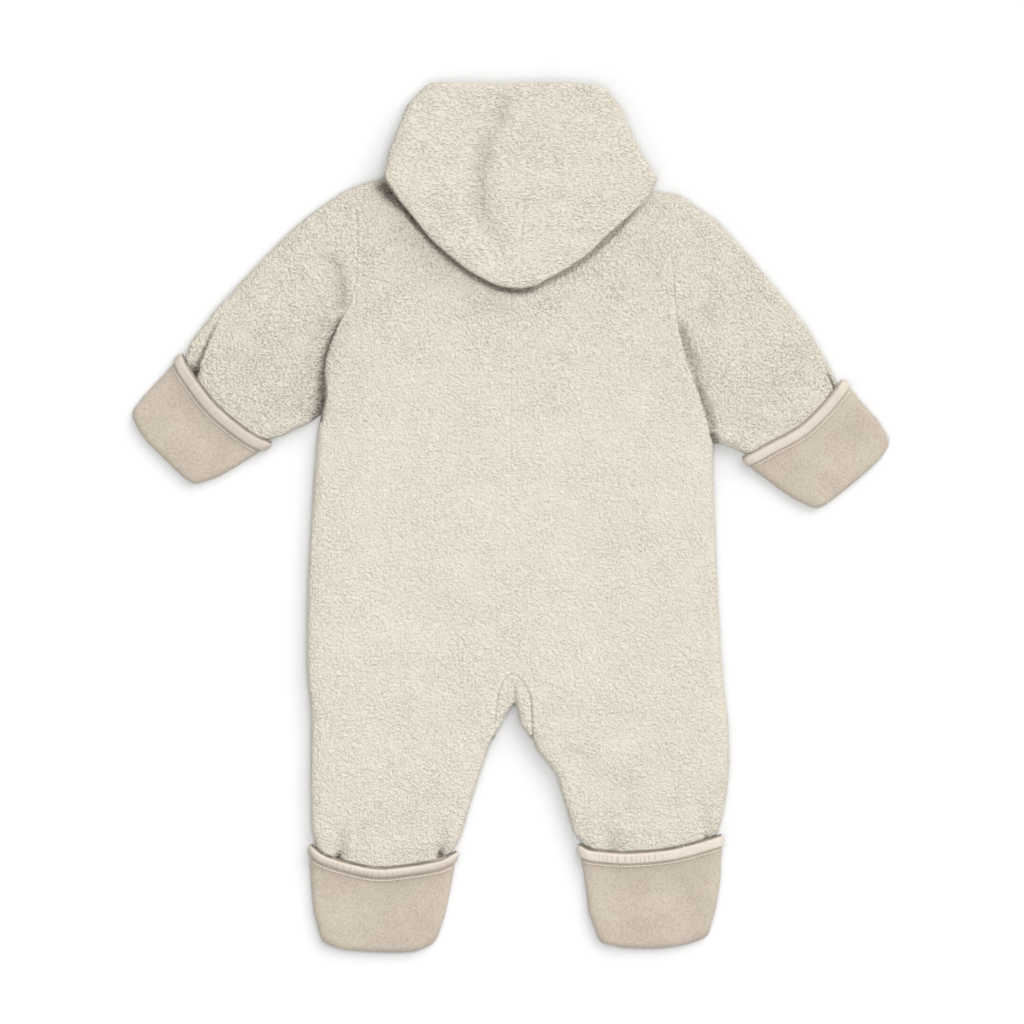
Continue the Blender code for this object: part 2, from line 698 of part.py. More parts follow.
def box(name, low, high, look):
    corners = [
        (x, y, z) for z in (low[2], high[2]) for y in (low[1], high[1]) for x in (low[0], high[0])
    ]
    faces = [(0, 2, 3, 1), (4, 5, 7, 6), (0, 1, 5, 4), (2, 6, 7, 3), (0, 4, 6, 2), (1, 3, 7, 5)]
    return solid(name, corners, faces, look)


def joined_to(target, other):
    """Unites another closed mesh with an object, and removes that other object."""
    union = target.modifiers.new("Union", "BOOLEAN")
    union.operation = "UNION"
    union.solver = "EXACT"
    union.object = other
    other.hide_render = True
    other.display_type = "WIRE"


def rounded(half_x, half_y, corner, steps=3):
    """A rectangle with round corners, as a loop about the middle."""
    loop = []
    for quarter, (x, y) in enumerate(((1, 1), (-1, 1), (-1, -1), (1, -1))):
        for step in range(steps + 1):
            angle = math.pi / 2 * (quarter + step / steps)
            centre = np.array([x * (half_x - corner), y * (half_y - corner)])
            loop.append(centre + corner * np.array([math.cos(angle), math.sin(angle)]))
    return np.array(loop)


def make_zip():
    for sign, hand in ((-1, "left"), (1, "right")):
        near, far = sorted((sign * SEAM, sign * (ZIP_GAP - SEAM)))
        top = TAPE_LOW + TAPE_THICK
        box(f"zip_tape_{hand}", (near, TAPE_END, TAPE_LOW), (far, ZIP_TOP, top), ZIP_CLOTH)
    middle = np.array([0, HINGE_Y + 1])
    body = rounded(SLIDER_HALF_X, SLIDER_HALF_Y, SLIDER_CORNER)
    levels = [
        (middle + body * 0.9, SLIDER_LOW), (middle + body, SLIDER_EDGE),
        (middle + body, TAPE_LOW - SEAM),
    ]
    slider = stacked("zip_slider", levels, ZIP_METAL)
    for number, (low, high) in enumerate(BRIDGE_BARS):
        joined_to(slider, box(f"slider_bridge_{number}", low, high, ZIP_METAL))
    make_pull_tab()


def make_pull_tab():
    """A plate whose window takes the slider's bridge; its first bar lies on the hinge axis."""
    half_long = (TAB_LONG + TAB_HALF_THICK) / 2
    outer = rounded(TAB_HALF_X, half_long, TAB_CORNER) + (0, TAB_HALF_THICK - half_long)
    window = rounded(TAB_WINDOW_X, TAB_WINDOW_Y, TAB_WINDOW_CORNER)
    window += (0, -TAB_HALF_THICK - TAB_WINDOW_Y)
    low, high = -TAB_HALF_THICK, TAB_HALF_THICK
    loops = ((outer, low), (window, low), (window, high), (outer, high))
    points = [(x, y, height) for loop, height in loops for x, y in loop]
    size, faces = len(outer), []
    for level in range(4):
        for corner in range(size):
            after = (corner + 1) % size
            start, end = level * size, (level + 1) % 4 * size
            faces.append([start + corner, start + after, end + after, end + corner])
    tab = solid("zip_pull_tab", points, faces, ZIP_METAL)
    tab.location = (0, HINGE_Y * MM, HINGE_Z * MM)


def main():
    for old in list(bpy.data.objects):
        bpy.data.objects.remove(old)
    covers = {name: cover_patch(name) for name in COVERS}
    panels = make_body(covers)
    make_gusset()
    for hand in ("left", "right"):
        make_sleeve(hand, covers[f"mitt_{hand}"])
        make_hood_half(hand)
    for name, cover in covers.items():
        part, hand = name.split("_")
        edges = ["near", "far", "foot"]
        shell(f"{part}_cover_{hand}", cover, ["top", "under"], edges, SMOOTH_FLEECE, under_from=3)
        binding(f"{part}_binding_{hand}", cover)
    make_hood_fold()
    make_hood_neck(panels)
    make_zip()


main()
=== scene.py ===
import json
import math

import bmesh
import bpy
import numpy as np
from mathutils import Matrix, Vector
from mathutils.bvhtree import BVHTree

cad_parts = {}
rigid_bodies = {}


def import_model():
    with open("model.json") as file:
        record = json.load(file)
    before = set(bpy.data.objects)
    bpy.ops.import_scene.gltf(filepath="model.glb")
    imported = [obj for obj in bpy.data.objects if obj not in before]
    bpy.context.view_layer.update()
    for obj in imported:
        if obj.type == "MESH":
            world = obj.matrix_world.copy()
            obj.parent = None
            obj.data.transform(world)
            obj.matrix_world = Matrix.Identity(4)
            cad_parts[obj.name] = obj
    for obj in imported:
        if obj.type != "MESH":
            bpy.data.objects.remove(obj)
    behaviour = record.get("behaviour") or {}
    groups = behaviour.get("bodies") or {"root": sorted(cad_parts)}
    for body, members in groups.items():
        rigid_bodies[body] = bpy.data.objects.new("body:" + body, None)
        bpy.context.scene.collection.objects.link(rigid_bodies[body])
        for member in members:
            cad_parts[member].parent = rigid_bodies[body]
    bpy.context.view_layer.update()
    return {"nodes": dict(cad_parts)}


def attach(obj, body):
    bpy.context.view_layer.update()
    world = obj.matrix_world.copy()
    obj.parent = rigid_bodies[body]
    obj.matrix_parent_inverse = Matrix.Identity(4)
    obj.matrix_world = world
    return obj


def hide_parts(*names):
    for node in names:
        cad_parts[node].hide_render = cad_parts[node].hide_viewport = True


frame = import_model()
nodes = frame["nodes"]
mm = 0.001
scene = bpy.context.scene
print("frame loaded:", len(nodes), "nodes")


# Shader and geometry maths as expressions


class Link:
    # an output socket that arithmetic works on: each operator adds its Math node
    def __init__(self, maker, socket):
        self.maker, self.socket = maker, socket

    def math(self, operation, *others, clamp=False):
        settings = {"operation": operation, "use_clamp": clamp}
        return self.maker.node("ShaderNodeMath", settings, dict(enumerate([self, *others])))

    def __add__(self, other):
        return self.math("ADD", other)

    __radd__ = __add__

    def __mul__(self, other):
        return self.math("MULTIPLY", other)

    __rmul__ = __mul__

    def __sub__(self, other):
        return self.math("SUBTRACT", other)

    def __rsub__(self, other):
        return self.maker.node("ShaderNodeMath", {"operation": "SUBTRACT"}, {0: other, 1: self})

    def __truediv__(self, other):
        return self.math("DIVIDE", other)

    def __pow__(self, other):
        return self.math("POWER", other)


class Maker:
    # adds nodes to a shader or geometry tree: the settings first, then values or links
    def __init__(self, tree):
        self.tree = tree

    def node(self, kind, settings=None, values=None, out=0):
        made = self.tree.nodes.new(kind)
        for name, value in (settings or {}).items():
            setattr(made, name, value)
        for name, value in (values or {}).items():
            if isinstance(value, Link):
                self.tree.links.new(value.socket, made.inputs[name])
            else:
                made.inputs[name].default_value = value
        return Link(self, made.outputs[out])

    def scaled(self, vector, factor):
        return self.node("ShaderNodeVectorMath", {"operation": "SCALE"}, {0: vector, "Scale": factor})

    def vector(self, operation, first, second):
        return self.node("ShaderNodeVectorMath", {"operation": operation}, {0: first, 1: second})

    def noise(self, point, size, detail=2.0, rough=0.5, out="Fac"):
        values = {"Vector": point, "Scale": 1 / size, "Detail": detail, "Roughness": rough}
        return self.node("ShaderNodeTexNoise", None, values, out)

    def cells(self, point, size, feature="DISTANCE_TO_EDGE", out="Distance"):
        values = {"Vector": point, "Scale": 1 / size, "Randomness": 1.0}
        return self.node("ShaderNodeTexVoronoi", {"feature": feature}, values, out)

    def ease(self, value, low, high, start=0.0, end=1.0):
        values = {"Value": value, "From Min": low, "From Max": high, "To Min": start, "To Max": end}
        return self.node("ShaderNodeMapRange", {"interpolation_type": "SMOOTHSTEP"}, values)

    def mix(self, factor, first, second):
        values = {0: factor, 6: first, 7: second}
        return self.node("ShaderNodeMix", {"data_type": "RGBA"}, values, 2)

    def attribute(self, name, out="Vector"):
        return self.node("ShaderNodeAttribute", {"attribute_name": name}, None, out)

    def bump(self, height, distance, strength=1.0, below=None):
        values = {"Height": height, "Distance": distance, "Strength": strength}
        if below:
            values["Normal"] = below
        return self.node("ShaderNodeBump", None, values)


# Teddy fleece

teddy = {
    "long": 2.9 * mm,  # how far apart the creases of the pile wander
    "curl": 1.75 * mm,  # how wide one soft curl is
    "deep": 0.8 * mm,  # from the top of a curl to the crease beside it
    "light": (0.526, 0.491, 0.416, 1),
    # dark: the colour of the pile's creases, a painted shade
    "dark": (0.35, 0.316, 0.259, 1),
    "warm": (0.518, 0.475, 0.402, 1),
    # the colour of painted shade, deep inside a fold
    "paintedShade": (0.085, 0.07, 0.056, 1),  # deep inside a fold
}


def curls(maker, point):
    # height of the pile, from 0 in a crease to 1 on a curl: shader and geometry share it
    moved = maker.vector("ADD", point, (0.31, 0.17, 0.05))
    creased = maker.ease((maker.noise(moved, teddy["long"], 1.0) - 0.5).math("ABSOLUTE"), 0.0, 0.12)
    soft = maker.ease(maker.noise(point, teddy["curl"], 1.0), 0.28, 0.72)
    patchy = maker.ease(maker.noise(moved, 26 * mm, 1.0), 0.3, 0.7, 0.9, 1.06)
    return 1 - (1 - creased * 0.47 - soft * 0.53) * patchy


def newMaterial(name, roughness, sheen=0.0, sheenRoughness=0.5, metallic=0.0):
    made = bpy.data.materials.new(name)
    made.use_nodes = True
    shader = made.node_tree.nodes["Principled BSDF"]
    shader.inputs["Roughness"].default_value = roughness
    shader.inputs["Metallic"].default_value = metallic
    shader.inputs["Sheen Weight"].default_value = sheen
    shader.inputs["Sheen Roughness"].default_value = sheenRoughness
    return made, Maker(made.node_tree), shader


def wire(maker, link, shader, name):
    maker.tree.links.new(link.socket, shader.inputs[name])


def teddyFleece():
    made, maker, shader = newMaterial("teddyFleece", 0.95, 0.12, 0.5)
    shader.inputs["Specular IOR Level"].default_value = 0.2
    point = maker.attribute("restPoint")
    nap = maker.attribute("pile", "Fac")
    height = 1 - (1 - curls(maker, point)) * nap
    fibre = maker.noise(point, 0.9 * mm, 3.0, 0.65)
    cloud = maker.noise(point, 70 * mm, 2.0)
    body = maker.mix(maker.ease(cloud, 0.35, 0.7, 0.0, 0.55), teddy["light"], teddy["warm"])
    # the creases of the pile are painted darker: painted shade
    shade = maker.ease(height + (fibre - 0.5) * 0.35, 0.05, 0.62)
    cloth = maker.mix(shade, teddy["dark"], body)
    # shade painted into the colour inside folds, strongest in the pile's creases
    inside = maker.attribute("paintedShade", "Fac").math("MULTIPLY", 1.4 - height * 0.6, clamp=True)
    wire(maker, maker.mix(inside, cloth, teddy["paintedShade"]), shader, "Base Color")
    soft = maker.bump(height, 1.4 * mm, 0.9)
    wire(maker, maker.bump(fibre, 0.6 * mm, 0.55, soft), shader, "Normal")
    return made


# Smooth fleece of the covers, the binding and the thread

fleece = {"light": (0.449, 0.388, 0.33, 1), "fresh": (0.437, 0.398, 0.32, 1),
          "dark": (0.314, 0.267, 0.216, 1)}
bindingCloth = {"light": (0.515, 0.46, 0.395, 1), "dark": (0.30, 0.25, 0.205, 1)}


def smoothFleece():
    made, maker, shader = newMaterial("smoothFleece", 0.92, 0.25, 0.45)
    shader.inputs["Specular IOR Level"].default_value = 0.2
    point = maker.attribute("restPoint")
    nap = maker.noise(point, 1.1 * mm, 3.0, 0.7)
    pill = maker.cells(point, 1.7 * mm, "F1")
    felted = nap * 0.65 + (1 - pill) * 0.35
    cloud = maker.noise(point, 28 * mm, 2.0)
    tone = maker.ease(felted, 0.25, 0.8) * 0.75 + maker.ease(cloud, 0.3, 0.7) * 0.25
    body = maker.mix(maker.ease(maker.noise(point, 42 * mm, 1.0), 0.38, 0.62), fleece["light"],
                     fleece["fresh"])
    cloth = maker.mix(tone, fleece["dark"], body)
    # shade painted into the colour in the groove, below the ridge and at the rim gap
    wire(maker, maker.mix(maker.attribute("paintedShade", "Fac"), cloth, teddy["paintedShade"]), shader, "Base Color")
    wire(maker, maker.bump(felted, 0.45 * mm, 0.6), shader, "Normal")
    return made


def bindingJersey():
    made, maker, shader = newMaterial("bindingJersey", 0.8, 0.2, 0.4)
    shader.inputs["Specular IOR Level"].default_value = 0.25
    point = maker.attribute("restPoint")
    across = maker.attribute("across", "Fac")  # 0 where the band is bright, 1 where it is darkest
    knit = maker.noise(point, 0.7 * mm, 2.0, 0.6)
    cloud = maker.noise(point, 9 * mm, 2.0)
    # darker towards the band's lower edge, painted shade in the gathers, and random tone from the cloud and
    # the knit
    darkening = across + (cloud - 0.5) * 0.3 + (knit - 0.5) * 0.3
    cloth = maker.mix(darkening.math("ADD", 0.0, clamp=True), bindingCloth["light"], bindingCloth["dark"])
    # painted shade at the band's lower end and in the gap at the rim
    wire(maker, maker.mix(maker.attribute("paintedShade", "Fac"), cloth, teddy["paintedShade"]), shader, "Base Color")
    wire(maker, maker.bump(knit, 0.25 * mm, 0.5), shader, "Normal")
    return made


def sewingThread():
    made, maker, shader = newMaterial("sewingThread", 0.6, 0.1)
    point = maker.node("ShaderNodeTexCoord", out="Object")
    ply = maker.node("ShaderNodeTexWave", {"bands_direction": "DIAGONAL"},
                     {"Vector": point, "Scale": 1 / (0.9 * mm), "Distortion": 0.6})
    tone = maker.mix(ply, (0.60, 0.53, 0.45, 1), (0.72, 0.65, 0.56, 1))
    wire(maker, tone, shader, "Base Color")
    wire(maker, maker.bump(ply, 0.1 * mm, 0.4), shader, "Normal")
    return made


# Zip

zipLooks = {
    "tape": ((0.62, 0.55, 0.45, 1), (0.76, 0.69, 0.58, 1)),
    "coil": ((0.66, 0.60, 0.50, 1), (0.78, 0.72, 0.62, 1)),
    "metal": ((0.46, 0.45, 0.43, 1), (0.66, 0.64, 0.61, 1)),
}


def wovenTape():
    made, maker, shader = newMaterial("wovenTape", 0.85, 0.1)
    point = maker.node("ShaderNodeTexCoord", out="Object")
    warp = maker.node("ShaderNodeTexWave", {"bands_direction": "X"},
                      {"Vector": point, "Scale": 1 / (2.6 * mm)})
    weft = maker.node("ShaderNodeTexWave", {"bands_direction": "Y"},
                      {"Vector": point, "Scale": 1 / (1.9 * mm)})
    weave = warp.math("MAXIMUM", weft)
    wire(maker, maker.mix(weave, *zipLooks["tape"]), shader, "Base Color")
    wire(maker, maker.bump(weave, 0.2 * mm, 0.6), shader, "Normal")
    return made


def coilPlastic():
    made, maker, shader = newMaterial("coilPlastic", 0.45)
    point = maker.node("ShaderNodeTexCoord", out="Object")
    cloud = maker.noise(point, 2.5 * mm)
    wire(maker, maker.mix(cloud, *zipLooks["coil"]), shader, "Base Color")
    wire(maker, maker.ease(cloud, 0.3, 0.7, 0.38, 0.52), shader, "Roughness")
    return made


def satinMetal():
    made, maker, shader = newMaterial("satinMetal", 0.35, metallic=1.0)
    point = maker.node("ShaderNodeTexCoord", out="Object")
    drawn = maker.vector("MULTIPLY", point, (1.0, 0.06, 1.0))
    brushed = maker.noise(drawn, 0.35 * mm, 3.0, 0.7)
    wire(maker, maker.mix(brushed, *zipLooks["metal"]), shader, "Base Color")
    wire(maker, maker.ease(brushed, 0.2, 0.8, 0.28, 0.46), shader, "Roughness")
    wire(maker, maker.bump(brushed, 0.05 * mm, 0.3), shader, "Normal")
    return made


looks = {
    "teddy": teddyFleece(), "fleece": smoothFleece(), "binding": bindingJersey(),
    "thread": sewingThread(), "tape": wovenTape(), "coil": coilPlastic(), "metal": satinMetal(),
}
print("materials made")


# Meshes


def merged(name):
    # a closed, merged copy of a CAD node's loose triangles
    bm = bmesh.new()
    bm.from_mesh(nodes[name].data)
    bmesh.ops.remove_doubles(bm, verts=bm.verts, dist=0.01 * mm)
    bmesh.ops.recalc_face_normals(bm, faces=bm.faces)
    return bm


def treeOf(objects):
    # the meshes of several objects in one tree
    together = bmesh.new()
    for obj in objects:
        together.from_mesh(obj.data)
    tree = BVHTree.FromBMesh(together)
    together.free()
    return tree


solids = treeOf(nodes.values())
sides = [(1, 0), (-1, 0), (0, 1), (0, -1)]
upward = [Vector(way).normalized() for way in
          [(0, 0, 1), *[(*side, 1) for side in sides], *[(*side, 0.1) for side in sides]]]
downward = [Vector(way).normalized() for way in [(0, 0, -1), *[(*side, -1) for side in sides]]]


def escapes(start, normal, ways):
    # whether any of the ways that a face looks leads clear of the garment
    for way in ways:
        if normal.dot(way) > 0.15 and solids.ray_cast(start, way)[0] is None:
            return True
    return False


def gridCut(bm, size):
    # cuts long faces into a grid, so that nothing is stretched when the surface is subdivided
    for axis in (0, 1):
        places = [vert.co[axis] for vert in bm.verts]
        across = Vector((1 - axis, axis, 0))
        for place in np.arange(min(places) + size / 2, max(places), size):
            bmesh.ops.bisect_plane(bm, geom=[*bm.verts, *bm.edges, *bm.faces], dist=0.05 * mm,
                                   plane_co=across * place, plane_no=across)


def subdivided(bm, levels):
    # Catmull-Clark, with the cut edges of the cloth kept as edges and their corners as corners
    crease = bm.edges.layers.float.new("crease_edge")
    corner = bm.verts.layers.float.new("crease_vert")
    for edge in bm.edges:
        if len(edge.link_faces) == 2 and edge.calc_face_angle(0) > math.radians(58):
            edge[crease] = 1.0
    for vert in bm.verts:
        ways = [(edge.other_vert(vert).co - vert.co).normalized() for edge in vert.link_edges if edge[crease]]
        if len(ways) == 2 and ways[0].angle(-ways[1], 0) > math.radians(32):
            vert[corner] = 1.0
    mesh = bpy.data.meshes.new("rough")
    bm.to_mesh(mesh)
    bm.free()
    rough = bpy.data.objects.new("rough", mesh)
    scene.collection.objects.link(rough)
    surface = rough.modifiers.new("surface", "SUBSURF")
    surface.levels = surface.render_levels = levels
    graph = bpy.context.evaluated_depsgraph_get()
    fine = bpy.data.meshes.new_from_object(rough.evaluated_get(graph))
    bpy.data.objects.remove(rough)
    bm = bmesh.new()
    bm.from_mesh(fine)
    bpy.data.meshes.remove(fine)
    return bm


def refined(name, top, under, grid, hidden=9.0, levels=2, close=None):
    # the node's cloth with edges no longer than top mm where it shows and under mm underneath, or finer
    # close to a line
    bm = merged(name)
    bmesh.ops.dissolve_limit(bm, angle_limit=math.radians(0.5), use_dissolve_boundaries=False,
                             verts=bm.verts, edges=bm.edges)
    bmesh.ops.join_triangles(bm, faces=bm.faces, angle_face_threshold=0.7, angle_shape_threshold=0.9)
    gridCut(bm, grid * mm)
    bm = subdivided(bm, levels)
    shows = bm.faces.layers.int.new("shows")
    bm.normal_update()
    for face in bm.faces:
        start = face.calc_center_median() + face.normal * 1.2 * mm
        if escapes(start, face.normal, upward):
            face[shows] = 2
        elif escapes(start, face.normal, downward):
            face[shows] = 1
    limits = [hidden * mm, under * mm, top * mm]
    for step in range(5):
        wanted = np.array([min(limits[face[shows]] for face in edge.link_faces) for edge in bm.edges])
        if close:
            middles = np.array([(edge.verts[0].co + edge.verts[1].co) / 2 for edge in bm.edges])
            away = np.abs(beside(middles, smoothLine(close["run"]))[0])
            band = (away > close["from"] * mm) & (away < close["to"] * mm) & (middles[:, 2] > 5 * mm)
            wanted = np.where(band, close["edge"] * mm, wanted)
        long = [edge for edge, size in zip(bm.edges, wanted) if edge.calc_length() > size]
        if not long:
            break
        bmesh.ops.subdivide_edges(bm, edges=long, cuts=1, use_grid_fill=True)
        bmesh.ops.triangulate(bm, faces=[face for face in bm.faces if len(face.verts) > 4])
    pile = bm.verts.layers.float.new("pile")
    for vert in bm.verts:
        seen = [1.0 if face[shows] else 0.0 for face in vert.link_faces]
        vert[pile] = sum(seen) / len(seen)
    for edge in bm.edges:
        edge.smooth = len(edge.link_faces) != 2 or edge.calc_face_angle(0) < math.radians(50)
    mesh = bpy.data.meshes.new(name + "_cloth")
    bm.to_mesh(mesh)
    bm.free()
    return mesh


def coordinates(mesh):
    flat = np.empty(len(mesh.vertices) * 3, np.float32)
    mesh.vertices.foreach_get("co", flat)
    return flat.reshape(-1, 3).astype(float)


def setCoordinates(mesh, points):
    mesh.vertices.foreach_set("co", points.astype(np.float32).ravel())
    mesh.update()


def normalsOf(mesh):
    flat = np.empty(len(mesh.vertices) * 3, np.float32)
    mesh.vertices.foreach_get("normal", flat)
    return flat.reshape(-1, 3).astype(float)


def attribute(mesh, name, values, kind="FLOAT"):
    layer = mesh.attributes.get(name) or mesh.attributes.new(name, kind, "POINT")
    key = "vector" if kind == "FLOAT_VECTOR" else "value"
    layer.data.foreach_set(key, np.asarray(values, np.float32).ravel())


# Folds and seams


def smoothLine(points, each=8):
    # a soft curve through points in mm
    knots = np.array([points[0], *points, points[-1]], float)
    steps = np.linspace(0, 1, each, endpoint=False)[:, None]
    runs = []
    for a, b, c, d in zip(knots, knots[1:], knots[2:], knots[3:]):
        runs.append(b + 0.5 * (steps * (c - a) + steps**2 * (2 * a - 5 * b + 4 * c - d)
                               + steps**3 * (3 * b - a - 3 * c + d)))
    return np.vstack([*runs, knots[-1:]]) * mm


def beside(points, line):
    # for each point its distance from the line, signed (left of it is positive), its share along, the nearest
    best = np.full(len(points), 1e9)
    signed, share = np.zeros(len(points)), np.zeros(len(points))
    nearest = np.zeros((len(points), 2))
    lengths = np.linalg.norm(np.diff(line, axis=0), axis=1)
    before = np.concatenate([[0], np.cumsum(lengths)])
    for start, end, length, done in zip(line, line[1:], lengths, before):
        way = (end - start) / max(length, 1e-9)
        off = points[:, :2] - start
        along = np.clip(off @ way, 0, length)
        gap = np.linalg.norm(off - along[:, None] * way, axis=1)
        closer = gap < best
        best = np.where(closer, gap, best)
        side = np.sign(way[0] * off[:, 1] - way[1] * off[:, 0])
        signed = np.where(closer, gap * side, signed)
        share = np.where(closer, (done + along) / before[-1], share)
        nearest = np.where(closer[:, None], start + along[:, None] * way, nearest)
    return signed, share, nearest


def fade(share, start=0.12, end=0.12):
    # 0 at a line's two ends and 1 between
    rise = np.clip(share / max(start, 1e-6), 0, 1)
    fall = np.clip((1 - share) / max(end, 1e-6), 0, 1)
    return (rise * rise * (3 - 2 * rise)) * (fall * fall * (3 - 2 * fall))


def pressFold(points, outer, pressed, paintedShade, fold):
    # adds a soft trough: run, deep, left and right half widths, ends, steep walls, lift beside it, over (how
    # far the left edge rolls out over the trough, or the right edge if negative), dark (how much shade is
    # painted into its pile's colour), slim (how wide and dark it starts, as a share of how it ends)
    line = smoothLine(fold["run"])
    low, high = line.min(0) - 45 * mm, line.max(0) + 45 * mm
    near = np.flatnonzero(((points[:, :2] > low) & (points[:, :2] < high)).all(1))
    if not len(near):
        return
    signed, share, nearest = beside(points[near], line)
    slim = fold.get("slim", 1)
    grown = slim + (1 - slim) * np.minimum(share * 1.4, 1) ** 1.5
    width = np.where(signed > 0, fold["left"], fold["right"]) * mm * grown
    along = fade(share, *fold.get("ends", (0.15, 0.15)))
    dip = np.exp(-(np.abs(signed / width) ** fold.get("steep", 2)))
    lift = fold.get("lift", 0) * along * np.exp(-(((np.abs(signed) - 2.2 * width) / (1.1 * width)) ** 2))
    pressed[near] += (fold["deep"] * along * dip - lift) * mm
    paintedShade[near] = np.maximum(paintedShade[near], fold.get("dark", 0) * dip * along * (0.45 + 0.55 * grown))
    if "over" in fold:
        edge = np.exp(-(((np.abs(signed) - 1.1 * width) / (1.2 * width)) ** 2)) * (signed * fold["over"] > 0)
        towards = (nearest - points[near, :2]) / np.maximum(np.abs(signed), 1e-6)[:, None]
        points[near, :2] += towards * (abs(fold["over"]) * mm * along * edge * outer[near])[:, None]


def drawTogether(points, run, reach=1.0, width=2.0):
    # closes a seam over the gap that the solids leave: what lies beside the line moves to it
    line = smoothLine(run)
    low, high = line.min(0) - 3 * width * mm, line.max(0) + 3 * width * mm
    near = ((points[:, :2] > low) & (points[:, :2] < high)).all(1)
    if near.any():
        signed, share, nearest = beside(points[near], line)
        gap = np.maximum(np.abs(signed), 1e-6)
        pull = np.minimum(reach * mm, gap) * np.exp(-((gap / (width * mm)) ** 4))
        points[near, :2] += (nearest - points[near, :2]) / gap[:, None] * pull[:, None]


def tuckUnder(points, edge):
    # moves a hidden layer's rim in from the line of the layer above, towards the middle
    signed = beside(points, smoothLine(edge["run"]))[0]
    inward = np.array(edge["middle"]) * mm - points[:, :2]
    inward /= np.linalg.norm(inward, axis=1)[:, None]
    pull = edge["reach"] * mm * np.exp(-((signed / (edge["width"] * mm)) ** 2))
    points[:, :2] += inward * pull[:, None]


def crispEdge(points, paintedShade, edge):
    # a steeper roll at a piece's edge, with shade painted below it
    signed = beside(points, smoothLine(edge["run"]))[0]
    close = np.exp(-((signed / (edge["width"] * mm)) ** 4))
    high = points[:, 2] / mm
    wall = close * (high > edge["low"])
    paintedShade[:] = np.maximum(paintedShade, edge["dark"] * close * np.clip((edge["dim"] - high) / 1.5, 0, 1))
    points[:, 2] += wall * edge["share"] * np.maximum(edge["top"] - high, 0) * mm


armhole = {
    "left": [(-121, 252), (-117, 226), (-117, 196), (-119.5, 173), (-126, 156), (-137, 137), (-142, 119),
             (-145, 78)],
    "right": [(120.5, 248), (121, 214), (124, 180), (126, 156), (129, 138), (137, 112), (145, 92),
              (154, 56)],
}
gussetSeam = [(-12, -166), (-12, -155), (-10.7, -141), (-8.4, -130.5), (-4, -122), (0, -119.5), (6, -122),
              (11.5, -129), (15, -138), (16, -150), (16.5, -166)]
hoodSeam = [(18, 331.5), (14, 285), (10, 230), (6, 173.4)]
centreBack = [(0, 250), (0.3, 120), (-0.3, 0), (0, -119.5)]

rims = {
    "mitt_left": [(-250, 125), (-245.5, 114.5), (-232, 95.5), (-223, 85), (-211, 74.5), (-199, 65.5),
                  (-190, 60.5), (-182.5, 58)],
    "mitt_right": [(252, 105.5), (246, 97), (236, 85), (222.5, 72), (212, 65), (196.6, 57), (186, 51),
                   (176.5, 46.5)],
    "foot_left": [(-42, -254), (-53, -260), (-66, -263), (-83, -265.5), (-99, -267), (-114, -265),
                  (-133, -260), (-144, -255.5), (-152, -249)],
    "foot_right": [(52.5, -248.5), (60, -252.5), (72, -254), (88, -255), (111, -253.5), (127, -251),
                   (144, -246.5), (160.5, -241.5)],
}
seams = {"body": [
    {"run": centreBack, "deep": 0.4, "left": 1.3, "right": 1.3, "ends": (0.01, 0.01)},
    {"run": armhole["left"], "deep": 0.5, "left": 1.5, "right": 1.5, "ends": (0.02, 0.02)},
    {"run": armhole["right"], "deep": 0.6, "left": 1.5, "right": 1.5, "ends": (0.02, 0.02)},
    {"run": gussetSeam, "deep": 0.9, "left": 1.2, "right": 1.2, "ends": (0.02, 0.02), "dark": 0.08},
    {"run": gussetSeam[:4], "deep": 0.5, "left": 0.9, "right": 0.9, "ends": (0.02, 0.4), "dark": 0.4},
    {"run": gussetSeam[7:], "deep": 0.9, "left": 1.5, "right": 1.2, "ends": (0.3, 0.02), "dark": 0.55},
], "hood": [
    {"run": hoodSeam, "deep": 0.3, "left": 1.4, "right": 1.4, "ends": (0.01, 0.01)},
], "inner": []}
hoodEdge = [(-96, 257), (-92.9, 252), (-87.6, 244.9), (-81.3, 237.6), (-74.9, 229.9), (-68.3, 222.2),
            (-61.6, 214.5), (-54.8, 207.5), (-47.5, 200.8), (-39.8, 195), (-32, 189.2), (-23.5, 184.3),
            (-14.9, 179.4), (-5.8, 175.8), (3.6, 174.2), (13.4, 175.1), (23.1, 179), (32.2, 183.4),
            (41.2, 188), (49.4, 193.1), (57.8, 199), (65.3, 205.4), (72.7, 212.2), (80, 219.4),
            (86.8, 226.8), (94.1, 234)]
# Which side of its rim a cover lies on, where the binding ends and the stitched ridge runs, in mm past the
# rim, and how much shade is painted below the ridge and in the gap at the rim
hems = {
    "mitt_left": {"side": -1, "end": 9.4, "ridge": 11.3, "dark": 0.12, "gap": 0.75},
    "mitt_right": {"side": 1, "end": 8.8, "ridge": 10.6, "dark": 0.08, "gap": 0.5},
    "foot_left": {"side": 1, "end": 8.1, "ridge": 10.1, "dark": 0.2, "gap": 0.95},
    "foot_right": {"side": -1, "end": 9.3, "ridge": 11.3, "dark": 0.05, "gap": 0.95},
}


def leftOf(line):
    # which way is left at each point of a line
    way = np.gradient(line, axis=0)
    way /= np.linalg.norm(way, axis=1)[:, None]
    return np.stack([-way[:, 1], way[:, 0]], axis=1)


def movedLeft(points, by):
    # a line moved a few mm to its left
    line = smoothLine(points, 2) / mm
    return line + leftOf(line) * by
